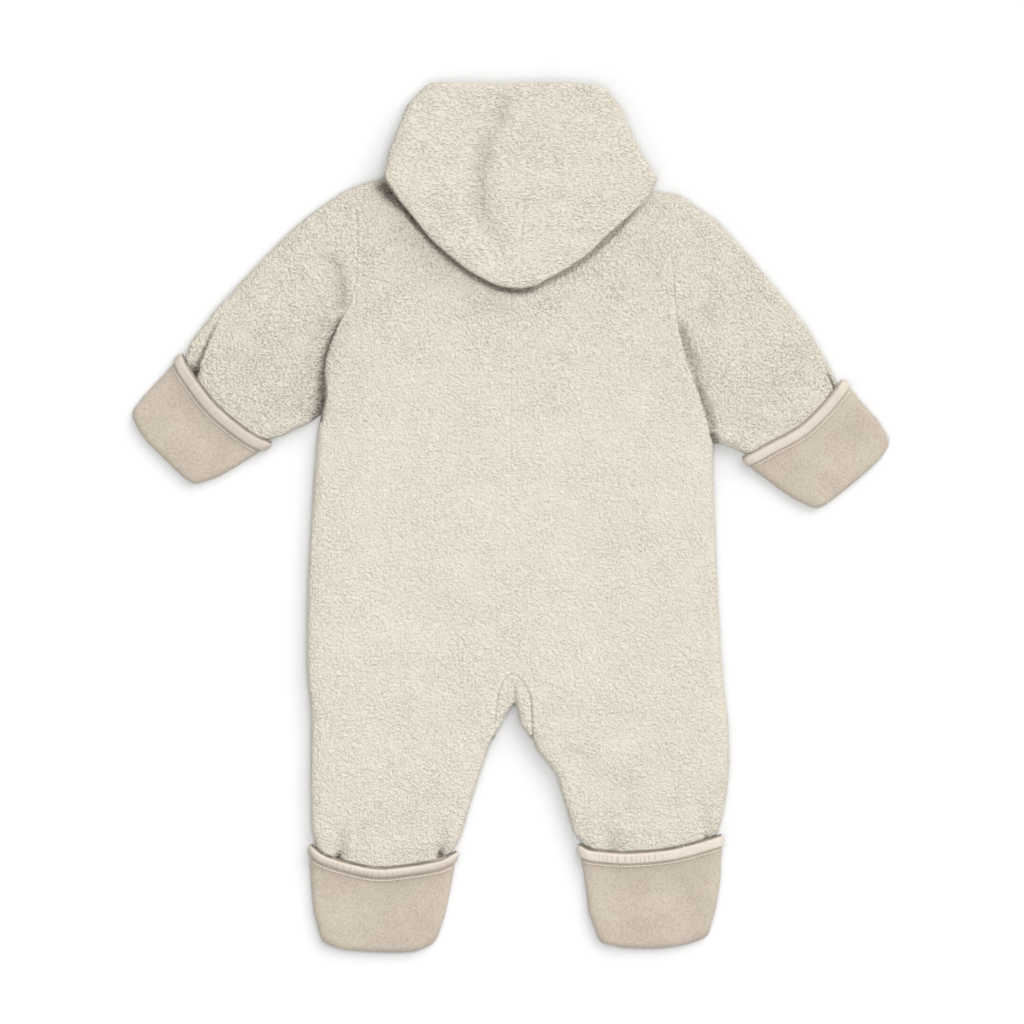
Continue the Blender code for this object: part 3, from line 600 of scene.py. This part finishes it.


# troughs at the rims, with shade painted into them
rimGaps = [
    {"run": movedLeft(rims[name], 0.6 * hems[name]["side"]),
     "deep": 2.2, "left": 1.0, "right": 1.0, "ends": (0.01, 0.01), "dark": hems[name]["gap"]}
    for name in rims
]
# folds at the armholes; the deeper ones have shade painted into them (dark)
armholeFolds = [
    {"run": [(-139, 203), (-135, 190), (-131, 178), (-128, 168), (-127.3, 156)],
     "deep": 2.8, "left": 3.8, "right": 9, "ends": (0.6, 0.06), "dark": 0.2},
    {"run": [(-150, 202), (-142, 198), (-134, 192.5), (-129, 184), (-128, 170)],
     "deep": 1.7, "left": 4.5, "right": 7.0, "ends": (0.3, 0.3), "dark": 0.12},
    {"run": [(-127, 162), (-127.8, 156.6), (-132.6, 145), (-138.4, 131.4), (-141.7, 120), (-142.6, 108.6),
             (-142.4, 97), (-143.4, 85.7), (-146, 72)],
     "deep": 6.5, "left": 1.7, "right": 7.2, "ends": (0.2, 0.02), "slim": 0.25, "dark": 0.8},
    {"run": [(-129, 158), (-142, 126), (-149, 100), (-151, 72)],
     "deep": 1.2, "left": 9, "right": 14, "dark": 0.15},
    {"run": [(127, 152), (130.5, 138), (136, 118), (143, 98)],
     "deep": 4.5, "left": 7.0, "right": 1.6, "ends": (0.2, 0.45), "slim": 0.55, "dark": 0.3},
    {"run": [(136, 118), (141, 103), (147, 86), (153, 66)],
     "deep": 4.5, "left": 3.6, "right": 1.5, "ends": (0.4, 0.02), "dark": 0.3},
    {"run": [(152, 66), (155, 60), (158, 55)],
     "deep": 5.0, "left": 2.6, "right": 2.2, "ends": (0.3, 0.3), "dark": 0.62},
]
# the shadow under the hood's edge is painted into the pile's colour, beside a raised strip and real troughs
shoulderShade = [
    {"run": movedLeft(hoodEdge, -5), "deep": -2.6, "left": 4.5, "right": 11, "ends": (0.08, 0.08)},
    {"run": [(x - 0.6, y - 0.8) for x, y in hoodEdge[:17]],
     "deep": 2.4, "left": 2.6, "right": 3.0, "ends": (0.02, 0.06), "dark": 0.58},
    {"run": [(x - 0.8, y - 0.8) for x, y in hoodEdge[:8]],
     "deep": 1.6, "left": 2.0, "right": 2.0, "ends": (0.02, 0.5), "dark": 0.85},
    {"run": [(x + 0.4, y - 1.0) for x, y in hoodEdge[15:]],
     "deep": 1.0, "left": 2.0, "right": 1.6, "ends": (0.1, 0.02), "dark": 0.24},
    {"run": [(-104, 258), (-96, 249), (-87, 240), (-78, 230)],
     "deep": 3.5, "left": 6.0, "right": 5.0, "ends": (0.2, 0.6), "dark": 0.72},
]
sleeveFolds = {
    "left": [
        {"run": [(-220, 158), (-227, 142), (-231, 133), (-236, 122), (-241, 108)],
         "deep": 4.5, "left": 0.9, "right": 1.5, "ends": (0.6, 0.02), "lift": 0.5, "over": 0.6, "dark": 0.5,
         "slim": 0.6},
        {"run": [(-238, 118), (-240.5, 112), (-244, 105)],
         "deep": 4.5, "left": 3.2, "right": 4.4, "ends": (0.5, 0.02), "dark": 0.8},
        {"run": [(-160, 190), (-176, 160), (-186, 120)],
         "deep": 1.0, "left": 12.0, "right": 16.0, "lift": 0.4},
    ],
    "right": [
        {"run": [(238, 116), (241.5, 109), (246, 99), (249, 90)],
         "deep": 3.2, "left": 1.2, "right": 1.0, "ends": (0.5, 0.02), "lift": 0.6, "over": -0.6,
         "dark": 0.32},
        {"run": [(142, 164), (148, 153), (155, 140)],
         "deep": 1.8, "left": 7.0, "right": 4.5, "ends": (0.3, 0.4), "dark": 0.1},
        {"run": [(174, 145), (175.5, 125), (175, 101)],
         "deep": 1.2, "left": 9.0, "right": 6.0, "ends": (0.3, 0.4), "lift": 0.3},
    ],
}
ankleFolds = [
    {"run": [(-129.5, -252), (-131, -257.5), (-133, -266)],
     "deep": 5.0, "left": 1.6, "right": 3.2, "ends": (0.7, 0.02), "slim": 0.3, "dark": 0.95},
    {"run": [(-126, -228), (-128, -246), (-131, -262)],
     "deep": 2.6, "left": 4.0, "right": 5.0, "ends": (0.8, 0.02), "dark": 0.14},
    {"run": [(-52.5, -248), (-53.5, -254), (-55.5, -263)],
     "deep": 4.5, "left": 2.6, "right": 1.6, "ends": (0.7, 0.02), "slim": 0.3, "dark": 0.85},
    {"run": [(-51, -226), (-52.5, -244), (-53.5, -260)],
     "deep": 2.2, "left": 5.0, "right": 4.0, "ends": (0.8, 0.02), "dark": 0.12},
    {"run": [(71, -230), (75, -244), (78, -256)],
     "deep": 3.0, "left": 8.0, "right": 6.0, "ends": (0.8, 0.02), "dark": 0.1},
    {"run": [(147, -238), (148.5, -242), (150, -250)],
     "deep": 2.6, "left": 1.6, "right": 2.4, "ends": (0.7, 0.02), "slim": 0.3, "dark": 0.5},
    {"run": [(145, -214), (148, -232), (150, -248)],
     "deep": 1.8, "left": 5.0, "right": 6.0, "ends": (0.7, 0.02)},
]
softFolds = [
    {"run": [(-40, -150), (-62, -168), (-95, -176)], "deep": 1.0, "left": 12, "right": 16, "lift": 0.4},
    {"run": [(38, -176), (60, -196), (96, -203)], "deep": 1.4, "left": 9, "right": 14, "lift": 0.5},
    {"run": [(30, -146), (70, -158), (120, -160)], "deep": 1.0, "left": 12, "right": 18, "lift": 0.3},
    {"run": [(28, 176), (60, 190), (92, 218)], "deep": 1.4, "left": 13, "right": 8},
    {"run": [(-110, -60), (-70, -76), (-24, -72)], "deep": 0.8, "left": 16, "right": 14, "lift": 0.3},
    {"run": [(40, -20), (80, -34), (120, -30)], "deep": 0.7, "left": 14, "right": 18, "lift": 0.3},
]
hoodFolds = [
    {"run": [(-3, 328), (-8, 307), (-18, 286), (-25, 250), (-20, 222), (-10, 200)],
     "deep": 2.4, "left": 4.5, "right": 9.0, "ends": (0.2, 0.3), "lift": 0.3, "dark": 0.12},
    {"run": [(44, 326.5), (70, 320), (80, 308)], "deep": 0.7, "left": 1.6, "right": 1.6},
    {"run": [(52, 322), (70, 315.5), (76, 306)], "deep": 0.5, "left": 1.6, "right": 1.6},
    {"run": [(-70, 240), (-48, 226), (-30, 214)], "deep": 1.0, "left": 9, "right": 12},
]


def pressAll(mesh, folds, tuck=None, crisp=None, above=7.6, full=None):
    # fills out a piece's rounded edges up to its full height, then presses its folds: its outer cloth goes
    # down, what lies inside stays below it, and the folds' painted shade goes onto the mesh
    points = coordinates(mesh)
    outer = points[:, 2] > above * mm
    if full:
        share = np.clip((points[:, 2] / mm - above) / (full - above), 0, 1)
        raised = (above + (full - above) * share**0.55) * mm
        facesUp = normalsOf(mesh)[:, 2] > 0.05
        points[:, 2] = np.where(outer & facesUp, np.maximum(points[:, 2], raised), points[:, 2])
    pressed, paintedShade = np.zeros(len(points)), np.zeros(len(points))
    if tuck:
        tuckUnder(points, tuck)
    if crisp:
        crispEdge(points, paintedShade, crisp)
    for fold in folds:
        pressFold(points, outer, pressed, paintedShade, fold)
    high = points[:, 2]
    sunk = np.clip((pressed / mm - 1.5) / 2.5, 0, 1)
    inside = np.minimum(high, high * (1 - sunk) + 0.8 * mm * sunk)
    floor = np.minimum(high, 1.1 * mm + high * 0.15)
    points[:, 2] = np.where(outer, np.maximum(high - pressed, floor), inside)
    setCoordinates(mesh, points)
    attribute(mesh, "paintedShade", paintedShade)


# Pile


def pileTree(name, deep, base, lumps):
    # moves each point along its normal by the same curls that the material draws
    tree = bpy.data.node_groups.new(name, "GeometryNodeTree")
    tree.interface.new_socket("Geometry", in_out="INPUT", socket_type="NodeSocketGeometry")
    tree.interface.new_socket("Geometry", in_out="OUTPUT", socket_type="NodeSocketGeometry")
    maker = Maker(tree)
    point = maker.node("GeometryNodeInputNamedAttribute", {"data_type": "FLOAT_VECTOR"},
                       {"Name": "restPoint"})
    pile = maker.node("GeometryNodeInputNamedAttribute", {"data_type": "FLOAT"}, {"Name": "pile"})
    rise = (curls(maker, point) - base) * deep
    broad = (maker.noise(point, 34 * mm, 1.0) - 0.5) * lumps
    small = (maker.noise(point, 13 * mm, 1.0) - 0.5) * (lumps * 0.5)
    offset = maker.scaled(maker.node("GeometryNodeInputNormal"), (rise + (broad + small)) * pile)
    whole = maker.node("NodeGroupInput")
    moved = maker.node("GeometryNodeSetPosition", None, {"Geometry": whole, "Offset": offset})
    out = tree.nodes.new("NodeGroupOutput")
    tree.links.new(moved.socket, out.inputs[0])
    return tree


pileTrees = {
    "top": pileTree("pileTop", teddy["deep"], 0.85, 1.5 * mm),
    "under": pileTree("pileUnder", teddy["deep"] * 0.8, 1.0, 0.0),
}


def applied(obj):
    # bakes the modifiers into the object's mesh
    graph = bpy.context.evaluated_depsgraph_get()
    made = bpy.data.meshes.new_from_object(obj.evaluated_get(graph), preserve_all_data_layers=True,
                                           depsgraph=graph)
    old = obj.data
    obj.modifiers.clear()
    obj.data = made
    bpy.data.meshes.remove(old)


def finished(mesh, name, look, nodeName):
    # a piece of the garment's body, in the place of its CAD node if it has one
    mesh.materials.clear()
    mesh.materials.append(looks[look])
    mesh.shade_smooth()
    made = bpy.data.objects.new(name, mesh)
    scene.collection.objects.link(made)
    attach(made, "garment")
    if nodeName:
        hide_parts(nodeName)
    return made


def withPile(obj, kind):
    growing = obj.modifiers.new("pile", "NODES")
    growing.node_group = pileTrees[kind]
    applied(obj)
    obj.data.shade_smooth()


def restPoints(mesh, stretch=(1, 1, 1)):
    attribute(mesh, "restPoint", coordinates(mesh) * np.array(stretch), "FLOAT_VECTOR")


# Back, front, gusset, sleeves and hood: each its node, its finest edges in mm, and its cut

outside = {"edge": (1.3, 2.8, 8.9), "kind": "top", "seams": "body", "full": 14.4}
underside = {"edge": (3.0, 3.0, 11.6), "levels": 1, "kind": "under", "seams": "body"}
hoodRoll = {"run": hoodEdge, "width": 5.0, "low": 19.4, "top": 24.0, "share": 0.65, "dim": 21.5,
            "dark": 0.5}
hoodTop = {"edge": (1.25, 2.6, 8.6), "kind": "top", "seams": "hood", "nap": ([0], [0.78]), "above": 21.2,
           "folds": hoodFolds, "stretch": (0.66, 1.2, 1), "crisp": hoodRoll}
hoodUnder = {"edge": (3.0, 3.0, 11.6), "levels": 1, "kind": "top", "seams": "inner", "folds": []}
backFolds = armholeFolds + shoulderShade + ankleFolds + softFolds + rimGaps
# the pile's depth, partly the real pile and partly painted shade: deeper pile draws more dark creases, which
# darkens the sleeves, the legs and the shoulders where the light is dimmer
backNap = ([-280, 60, 200], [0.74, 0.68, 0.88])
teddyPieces = {
    "back_left": dict(outside, nap=backNap, folds=backFolds,
                      sheet={"flat": (0.175, 0.556), "held": "laid", "area": 0.0764}),
    "back_right": dict(outside, nap=backNap, folds=backFolds,
                       sheet={"flat": (0.185, 0.54), "held": "laid", "area": 0.076}),
    "front_left": dict(underside, folds=armholeFolds + ankleFolds,
                       sheet={"flat": (0.165, 0.556), "held": "laid", "area": 0.0724}),
    "front_right": dict(underside, folds=armholeFolds + ankleFolds,
                        sheet={"flat": (0.175, 0.54), "held": "laid", "area": 0.072}),
    "crotch_gusset": dict(outside, edge=(1.1, 1.8, 8.6), folds=[
        {"run": [(2.4, -124), (2.6, -134), (3.4, -143)],
         "deep": 2.4, "left": 1.6, "right": 1.6, "ends": (0.6, 0.02)}],
        sheet={"flat": (0.055, 0.11), "held": "folded", "area": 0.0024}),
    "sleeve_left": dict(outside, edge=(1.4, 2.8, 9.6), nap=([0], [0.86]),
                        folds=armholeFolds + shoulderShade + sleeveFolds["left"] + rimGaps,
                        sheet={"flat": (0.30, 0.20), "held": "laid", "area": 0.0324}),
    "sleeve_right": dict(outside, edge=(1.4, 2.8, 9.6), nap=([0], [0.84]),
                         folds=armholeFolds + sleeveFolds["right"] + rimGaps,
                         sheet={"flat": (0.30, 0.21), "held": "laid", "area": 0.033}),
    "hood_left": dict(hoodTop, sheet={"flat": (0.13, 0.175), "held": "folded", "area": 0.014}),
    "hood_right": dict(hoodTop, sheet={"flat": (0.12, 0.175), "held": "folded", "area": 0.0118}),
    "hood_fold": dict(hoodUnder, tuck={"run": hoodEdge, "middle": (4, 262), "reach": 6.0, "width": 11.0},
                      sheet={"flat": (0.205, 0.165), "held": "folded", "area": 0.0254}),
    "hood_neck": dict(hoodUnder, sheet={"flat": (0.20, 0.125), "held": "folded", "area": 0.0196}),
}


def makeTeddy(nodeName, spec):
    mesh = refined(nodeName, *spec["edge"], levels=spec.get("levels", 2))
    restPoints(mesh, spec.get("stretch", (1, 1, 1)))
    curly = np.interp(coordinates(mesh)[:, 1] / mm, *spec.get("nap", ([0], [0.8])))
    seen = np.empty(len(mesh.vertices), np.float32)
    mesh.attributes["pile"].data.foreach_get("value", seen)
    attribute(mesh, "pile", seen * curly)
    pressAll(mesh, seams[spec["seams"]] + spec["folds"], spec.get("tuck"), spec.get("crisp"),
             spec.get("above", 7.6), spec.get("full"))
    made = finished(mesh, nodeName + "_pile", "teddy", nodeName)
    withPile(made, spec["kind"])
    points = coordinates(made.data)
    for seam in seams[spec["seams"]]:
        drawTogether(points, seam["run"])
    points[:, 2] = np.maximum(points[:, 2], -0.3 * mm)
    setCoordinates(made.data, points)
    print(nodeName, "made:", len(made.data.polygons), "faces")


for nodeName, spec in teddyPieces.items():
    makeTeddy(nodeName, spec)


# Covers and their bindings

coverForm = {  # mm up or down, past the rim
    "swell": 0.7,  # the padding below the rim
    "groove": 0.25,  # beside the binding
    "ridge": 0.6,  # over the stitched seam
    "rim": 1.5,  # where the cloth turns in at the rim
    "ripple": 0.14,
}
covers = {
    "mitt_left": {"sheet": {"flat": (0.15, 0.09), "held": "folded", "area": 0.0094}, "dents": [
        {"run": [(-262, 92), (-246, 72), (-226, 50)], "deep": 0.7, "left": 9, "right": 12}]},
    "mitt_right": {"sheet": {"flat": (0.155, 0.09), "held": "folded", "area": 0.0102}, "dents": [
        {"run": [(262, 72), (244, 50), (222, 30)], "deep": 0.6, "left": 12, "right": 9}]},
    "foot_left": {"sheet": {"flat": (0.165, 0.10), "held": "folded", "area": 0.0127}, "dents": [
        {"run": [(-130, -288), (-100, -296), (-72, -290)], "deep": 0.6, "left": 10, "right": 12}]},
    "foot_right": {"sheet": {"flat": (0.16, 0.105), "held": "folded", "area": 0.0138}, "dents": [
        {"run": [(80, -282), (110, -290), (140, -282)], "deep": 0.6, "left": 10, "right": 12}]},
}


def overRim(points, name):
    # how far each point lies past a rim on its cover in mm, its share along, and the way there
    line = smoothLine(rims[name])
    line = np.vstack([line[0] * 2 - line[8], line, line[-1] * 2 - line[-9]])
    signed, share, nearest = beside(points, line)
    past = signed * hems[name]["side"]
    way = (points[:, :2] - nearest) / np.where(np.abs(past) < 1e-6, 1e-6, past)[:, None]
    return past / mm, share, way


def hump(past, middle, width):
    # 1 in the middle and 0 away from it
    return np.exp(-(((past - middle) / width) ** 2))


def makeCover(name, spec):
    part, hand = name.split("_")
    nodeName = f"{part}_cover_{hand}"
    seamBand = {"run": rims[name], "from": 7.0, "to": 12.8, "edge": 0.75}
    mesh = refined(nodeName, 1.6, 3.0, 9.0, levels=1, close=seamBand)
    restPoints(mesh)
    points = coordinates(mesh)
    outer = points[:, 2] > 5.5 * mm
    pressed, paintedShade = np.zeros(len(points)), np.zeros(len(points))
    for fold in spec["dents"]:
        pressFold(points, outer, pressed, paintedShade, fold)
    past = overRim(points, name)[0]
    hem = hems[name]
    groove, ridge = hump(past, hem["end"] + 0.4, 0.5), hump(past, hem["ridge"], 0.6)
    pressed -= coverForm["swell"] * mm * hump(past, 8, 4)
    pressed += (coverForm["groove"] * groove - coverForm["ridge"] * ridge) * mm
    pressed += coverForm["rim"] * mm * hump(past, 0, 1.3)
    # painted shade in the groove beside the binding, below the ridge and at the rim
    paintedShade += hem["dark"] * (groove + 0.3 * hump(past, hem["ridge"] + 1.2, 0.4))
    paintedShade += hem["gap"] * hump(past, 0.2, 1.1)
    rng = np.random.default_rng(len(nodeName))
    waves = rng.uniform(0, 6.28, 6)
    ripple = sum(np.sin(points[:, 0] * (90 + 40 * turn) + waves[turn])
                 * np.cos(points[:, 1] * (110 - 25 * turn) + waves[turn + 3]) for turn in range(3))
    points[:, 2] += np.where(outer, ripple * coverForm["ripple"] * mm - pressed, 0)
    setCoordinates(mesh, points)
    attribute(mesh, "paintedShade", paintedShade * outer)
    made = finished(mesh, nodeName + "_fleece", "fleece", nodeName)
    print(nodeName, "made:", len(mesh.polygons), "faces")


bindings = {
    "mitt_left": {"gathers": (0.15, 0.85), "deep": 0.25, "darkening": (0.36, 0.16), "flat": (0.013, 0.093)},
    "mitt_right": {"gathers": (0.1, 0.4), "deep": 0.1, "darkening": (0.13, 0.14), "flat": (0.013, 0.096)},
    "foot_left": {"gathers": (0.35, 0.85), "deep": 0.35, "darkening": (0.05, 0.85), "flat": (0.013, 0.114)},
    "foot_right": {"gathers": (0.1, 0.62), "deep": 0.6, "darkening": (0.03, 0.05), "flat": (0.013, 0.111)},
}
# Flattens the band: mm past the rim, mm up
bandLevel = [(-0.8, -1.8), (0, -1.5), (0.8, -1.2), (1.6, -1.0), (2.4, -0.85), (3.2, -0.6), (4.0, -0.25),
             (4.8, 0.1), (5.6, 0.4), (6.4, 0.7), (6.9, 0.65), (7.4, -0.2)]
bandForm = {"from": -1.0, "to": 7.4, "starts": 1.0, "pleats": 3.2, "tipDown": 1.4, "tipIn": 0.025}


def makeBinding(name, spec):
    # moves the band a little onto its cover, flattens it, gathers it and lowers its two tips
    part, hand = name.split("_")
    nodeName = f"{part}_binding_{hand}"
    mesh = refined(nodeName, 0.8, 1.6, 8.6, levels=1)
    restPoints(mesh)
    points = coordinates(mesh)
    past, share, way = overRim(points, name)
    end = hems[name]["end"]
    moved = np.interp(past, [bandForm["from"], bandForm["to"]], [bandForm["starts"], end])
    points[:, :2] += way * ((moved - np.clip(past, bandForm["from"], bandForm["to"])) * mm)[:, None]
    length = np.linalg.norm(np.diff(smoothLine(rims[name]), axis=0), axis=1).sum()
    start, stop = spec["gathers"]
    gathered = fade(np.clip((share - start) / (stop - start), 0, 1), 0.3, 0.3)
    turns = share * length / (bandForm["pleats"] * mm) + 0.35 * np.sin(share * 31)
    pleat = np.maximum(np.cos(turns * 2 * math.pi), 0) ** 4 * spec["deep"] * gathered
    pleat *= hump(moved, end * 0.62, end * 0.3)
    tip = 1 - fade(share, 0.03, 0.03)
    points[:, 2] += (np.interp(past, *np.array(bandLevel).T) - pleat - bandForm["tipDown"] * tip) * mm
    inward = np.array(rims[name]).mean(0) * mm - points[:, :2]
    points[:, :2] += inward * (bandForm["tipIn"] * tip)[:, None]
    setCoordinates(mesh, points)
    plain, lower = spec["darkening"]
    # darker towards the band's lower edge, and painted shade in the gathers
    attribute(mesh, "across", plain + lower * np.clip((moved - 3) / (end - 3.6), 0, 1) + pleat)
    # painted shade at the band's lower end and in the gap at the rim
    paintedShade = 0.15 * hump(moved, end + 0.1, 0.4) + hems[name]["gap"] * hump(moved, 0.9, 0.6)
    attribute(mesh, "paintedShade", paintedShade)
    made = finished(mesh, nodeName + "_cloth", "binding", nodeName)
    print(nodeName, "made:", len(mesh.polygons), "faces")


for name, spec in covers.items():
    makeCover(name, spec)
for name, spec in bindings.items():
    makeBinding(name, spec)


# Topstitching below each binding

stitch = {"long": 2.4, "gap": 0.2, "thick": 0.65, "ends": 4.0}


def stitchRow(name, tree):
    # a row of stitches laid on the ridge of a cover
    hem = hems[name]
    row = smoothLine(rims[name])
    row = row + leftOf(row) * hem["side"] * hem["ridge"] * mm
    lengths = np.concatenate([[0], np.cumsum(np.linalg.norm(np.diff(row, axis=0), axis=1))])
    bm = bmesh.new()
    at = stitch["ends"] * mm
    while at < lengths[-1] - stitch["ends"] * mm:
        ends = [np.array([np.interp(at + more * mm, lengths, row[:, axis]) for axis in (0, 1)])
                for more in (0, stitch["long"])]
        hits = [tree.ray_cast(Vector((*end, 0.05)), Vector((0, 0, -1)))[0] for end in ends]
        if all(hits):
            run = hits[1] - hits[0]
            thick = stitch["thick"] * mm
            made = bmesh.ops.create_uvsphere(bm, u_segments=6, v_segments=4, radius=thick / 2)["verts"]
            bmesh.ops.scale(bm, vec=(1, 1, run.length / thick), verts=made)
            bmesh.ops.rotate(bm, cent=(0, 0, 0), matrix=run.to_track_quat("Z", "Y").to_matrix(), verts=made)
            bmesh.ops.translate(bm, vec=(hits[0] + hits[1]) / 2 + Vector((0, 0, 0.05 * mm)), verts=made)
        at += (stitch["long"] + stitch["gap"]) * mm
    mesh = bpy.data.meshes.new(name + "_stitches")
    bm.to_mesh(mesh)
    bm.free()
    finished(mesh, name + "_stitches", "thread", None)


coverTree = treeOf([obj for obj in scene.objects if obj.name.endswith("_fleece")])
for name in rims:
    stitchRow(name, coverTree)
print("stitches sewn")


# Zip on the underside

zipTeeth = {"pitch": 2.0, "from": -11, "to": 178, "low": 2.9, "high": 3.85, "reach": 1.7}


def makeTeeth():
    bm = bmesh.new()
    pitch, low, high, reach = (zipTeeth[key] for key in ("pitch", "low", "high", "reach"))
    for number in range(int((zipTeeth["to"] - zipTeeth["from"]) / pitch)):
        side = 1 if number % 2 else -1
        made = bmesh.ops.create_cube(bm, size=1.0)["verts"]
        bmesh.ops.scale(bm, vec=Vector((reach * 1.35, pitch * 0.72, high - low)) * mm, verts=made)
        middle = Vector((side * reach * 0.42, zipTeeth["from"] + number * pitch, (high + low) / 2)) * mm
        bmesh.ops.translate(bm, vec=middle, verts=made)
    bmesh.ops.bevel(bm, geom=list(bm.edges), offset=0.22 * mm, segments=1, profile=0.5,
                    affect="EDGES", material=-1)
    mesh = bpy.data.meshes.new("zip_teeth")
    bm.to_mesh(mesh)
    bm.free()
    made = finished(mesh, "zip_teeth", "coil", None)
    made.data.shade_flat()


makeTeeth()
zipFinish = {"zip_tape_left": "tape", "zip_tape_right": "tape", "zip_slider": "metal",
             "zip_pull_tab": "metal"}
for name, look in zipFinish.items():
    nodes[name].data.materials.clear()
    nodes[name].data.materials.append(looks[look])
print("zip made")


# Floor, light and camera

studio = {  # heights and sizes in metres
    "key": {"towards": (0.72, 0.86, 0.8), "power": 2.75, "spread": 58.0},
    "fill": {"towards": (-0.8, -0.9, 0.9), "power": 0.6, "spread": 58.0},
    "overhead": {"height": 2.0, "power": 19.8, "size": 1.1},
    "world": 0.63,
}
framing = {"height": 4.0, "middle": (0.8 * mm, 4.2 * mm), "cloth": 0.014, "across": 0.7803}


def floorPaper():
    made, maker, shader = newMaterial("floorPaper", 0.9)
    point = maker.node("ShaderNodeTexCoord", out="Object")
    grain = maker.noise(point, 2.0 * mm, 2.0)
    wire(maker, maker.mix(grain, (0.615, 0.615, 0.615, 1), (0.63, 0.63, 0.63, 1)), shader, "Base Color")
    return made


def makeFloor():
    bm = bmesh.new()
    bmesh.ops.create_grid(bm, x_segments=1, y_segments=1, size=6.0)
    mesh = bpy.data.meshes.new("floor")
    bm.to_mesh(mesh)
    bm.free()
    mesh.materials.append(floorPaper())
    floor = bpy.data.objects.new("floor", mesh)
    scene.collection.objects.link(floor)
    floor.location.z = -0.4 * mm


def softLight(name, towards, power, spread):
    # a large light far away: a sun as wide as the softbox looks from the garment
    data = bpy.data.lights.new(name, "SUN")
    data.energy, data.angle = power, math.radians(spread)
    light = bpy.data.objects.new(name, data)
    scene.collection.objects.link(light)
    light.rotation_euler = Vector(towards).to_track_quat("Z", "Y").to_euler()


def overheadLight(height, power, size):
    data = bpy.data.lights.new("overhead", "AREA")
    data.energy, data.shape, data.size = power, "DISK", size
    light = bpy.data.objects.new("overhead", data)
    scene.collection.objects.link(light)
    light.location = (0, 0.03, height)


makeFloor()
softLight("key", **studio["key"])
softLight("fill", **studio["fill"])
overheadLight(**studio["overhead"])
world = bpy.data.worlds.new("studio")
world.use_nodes = True
world.node_tree.nodes["Background"].inputs["Color"].default_value = (1.0, 1.0, 1.0, 1)
world.node_tree.nodes["Background"].inputs["Strength"].default_value = studio["world"]
scene.world = world
scene.view_settings.view_transform = "Standard"

view = bpy.data.cameras.new("camera")
view.sensor_width = 36.0
view.lens = view.sensor_width * (framing["height"] - framing["cloth"]) / framing["across"]
camera = bpy.data.objects.new("camera", view)
scene.collection.objects.link(camera)
camera.location = (*framing["middle"], framing["height"])
scene.camera = camera
print("stage set")
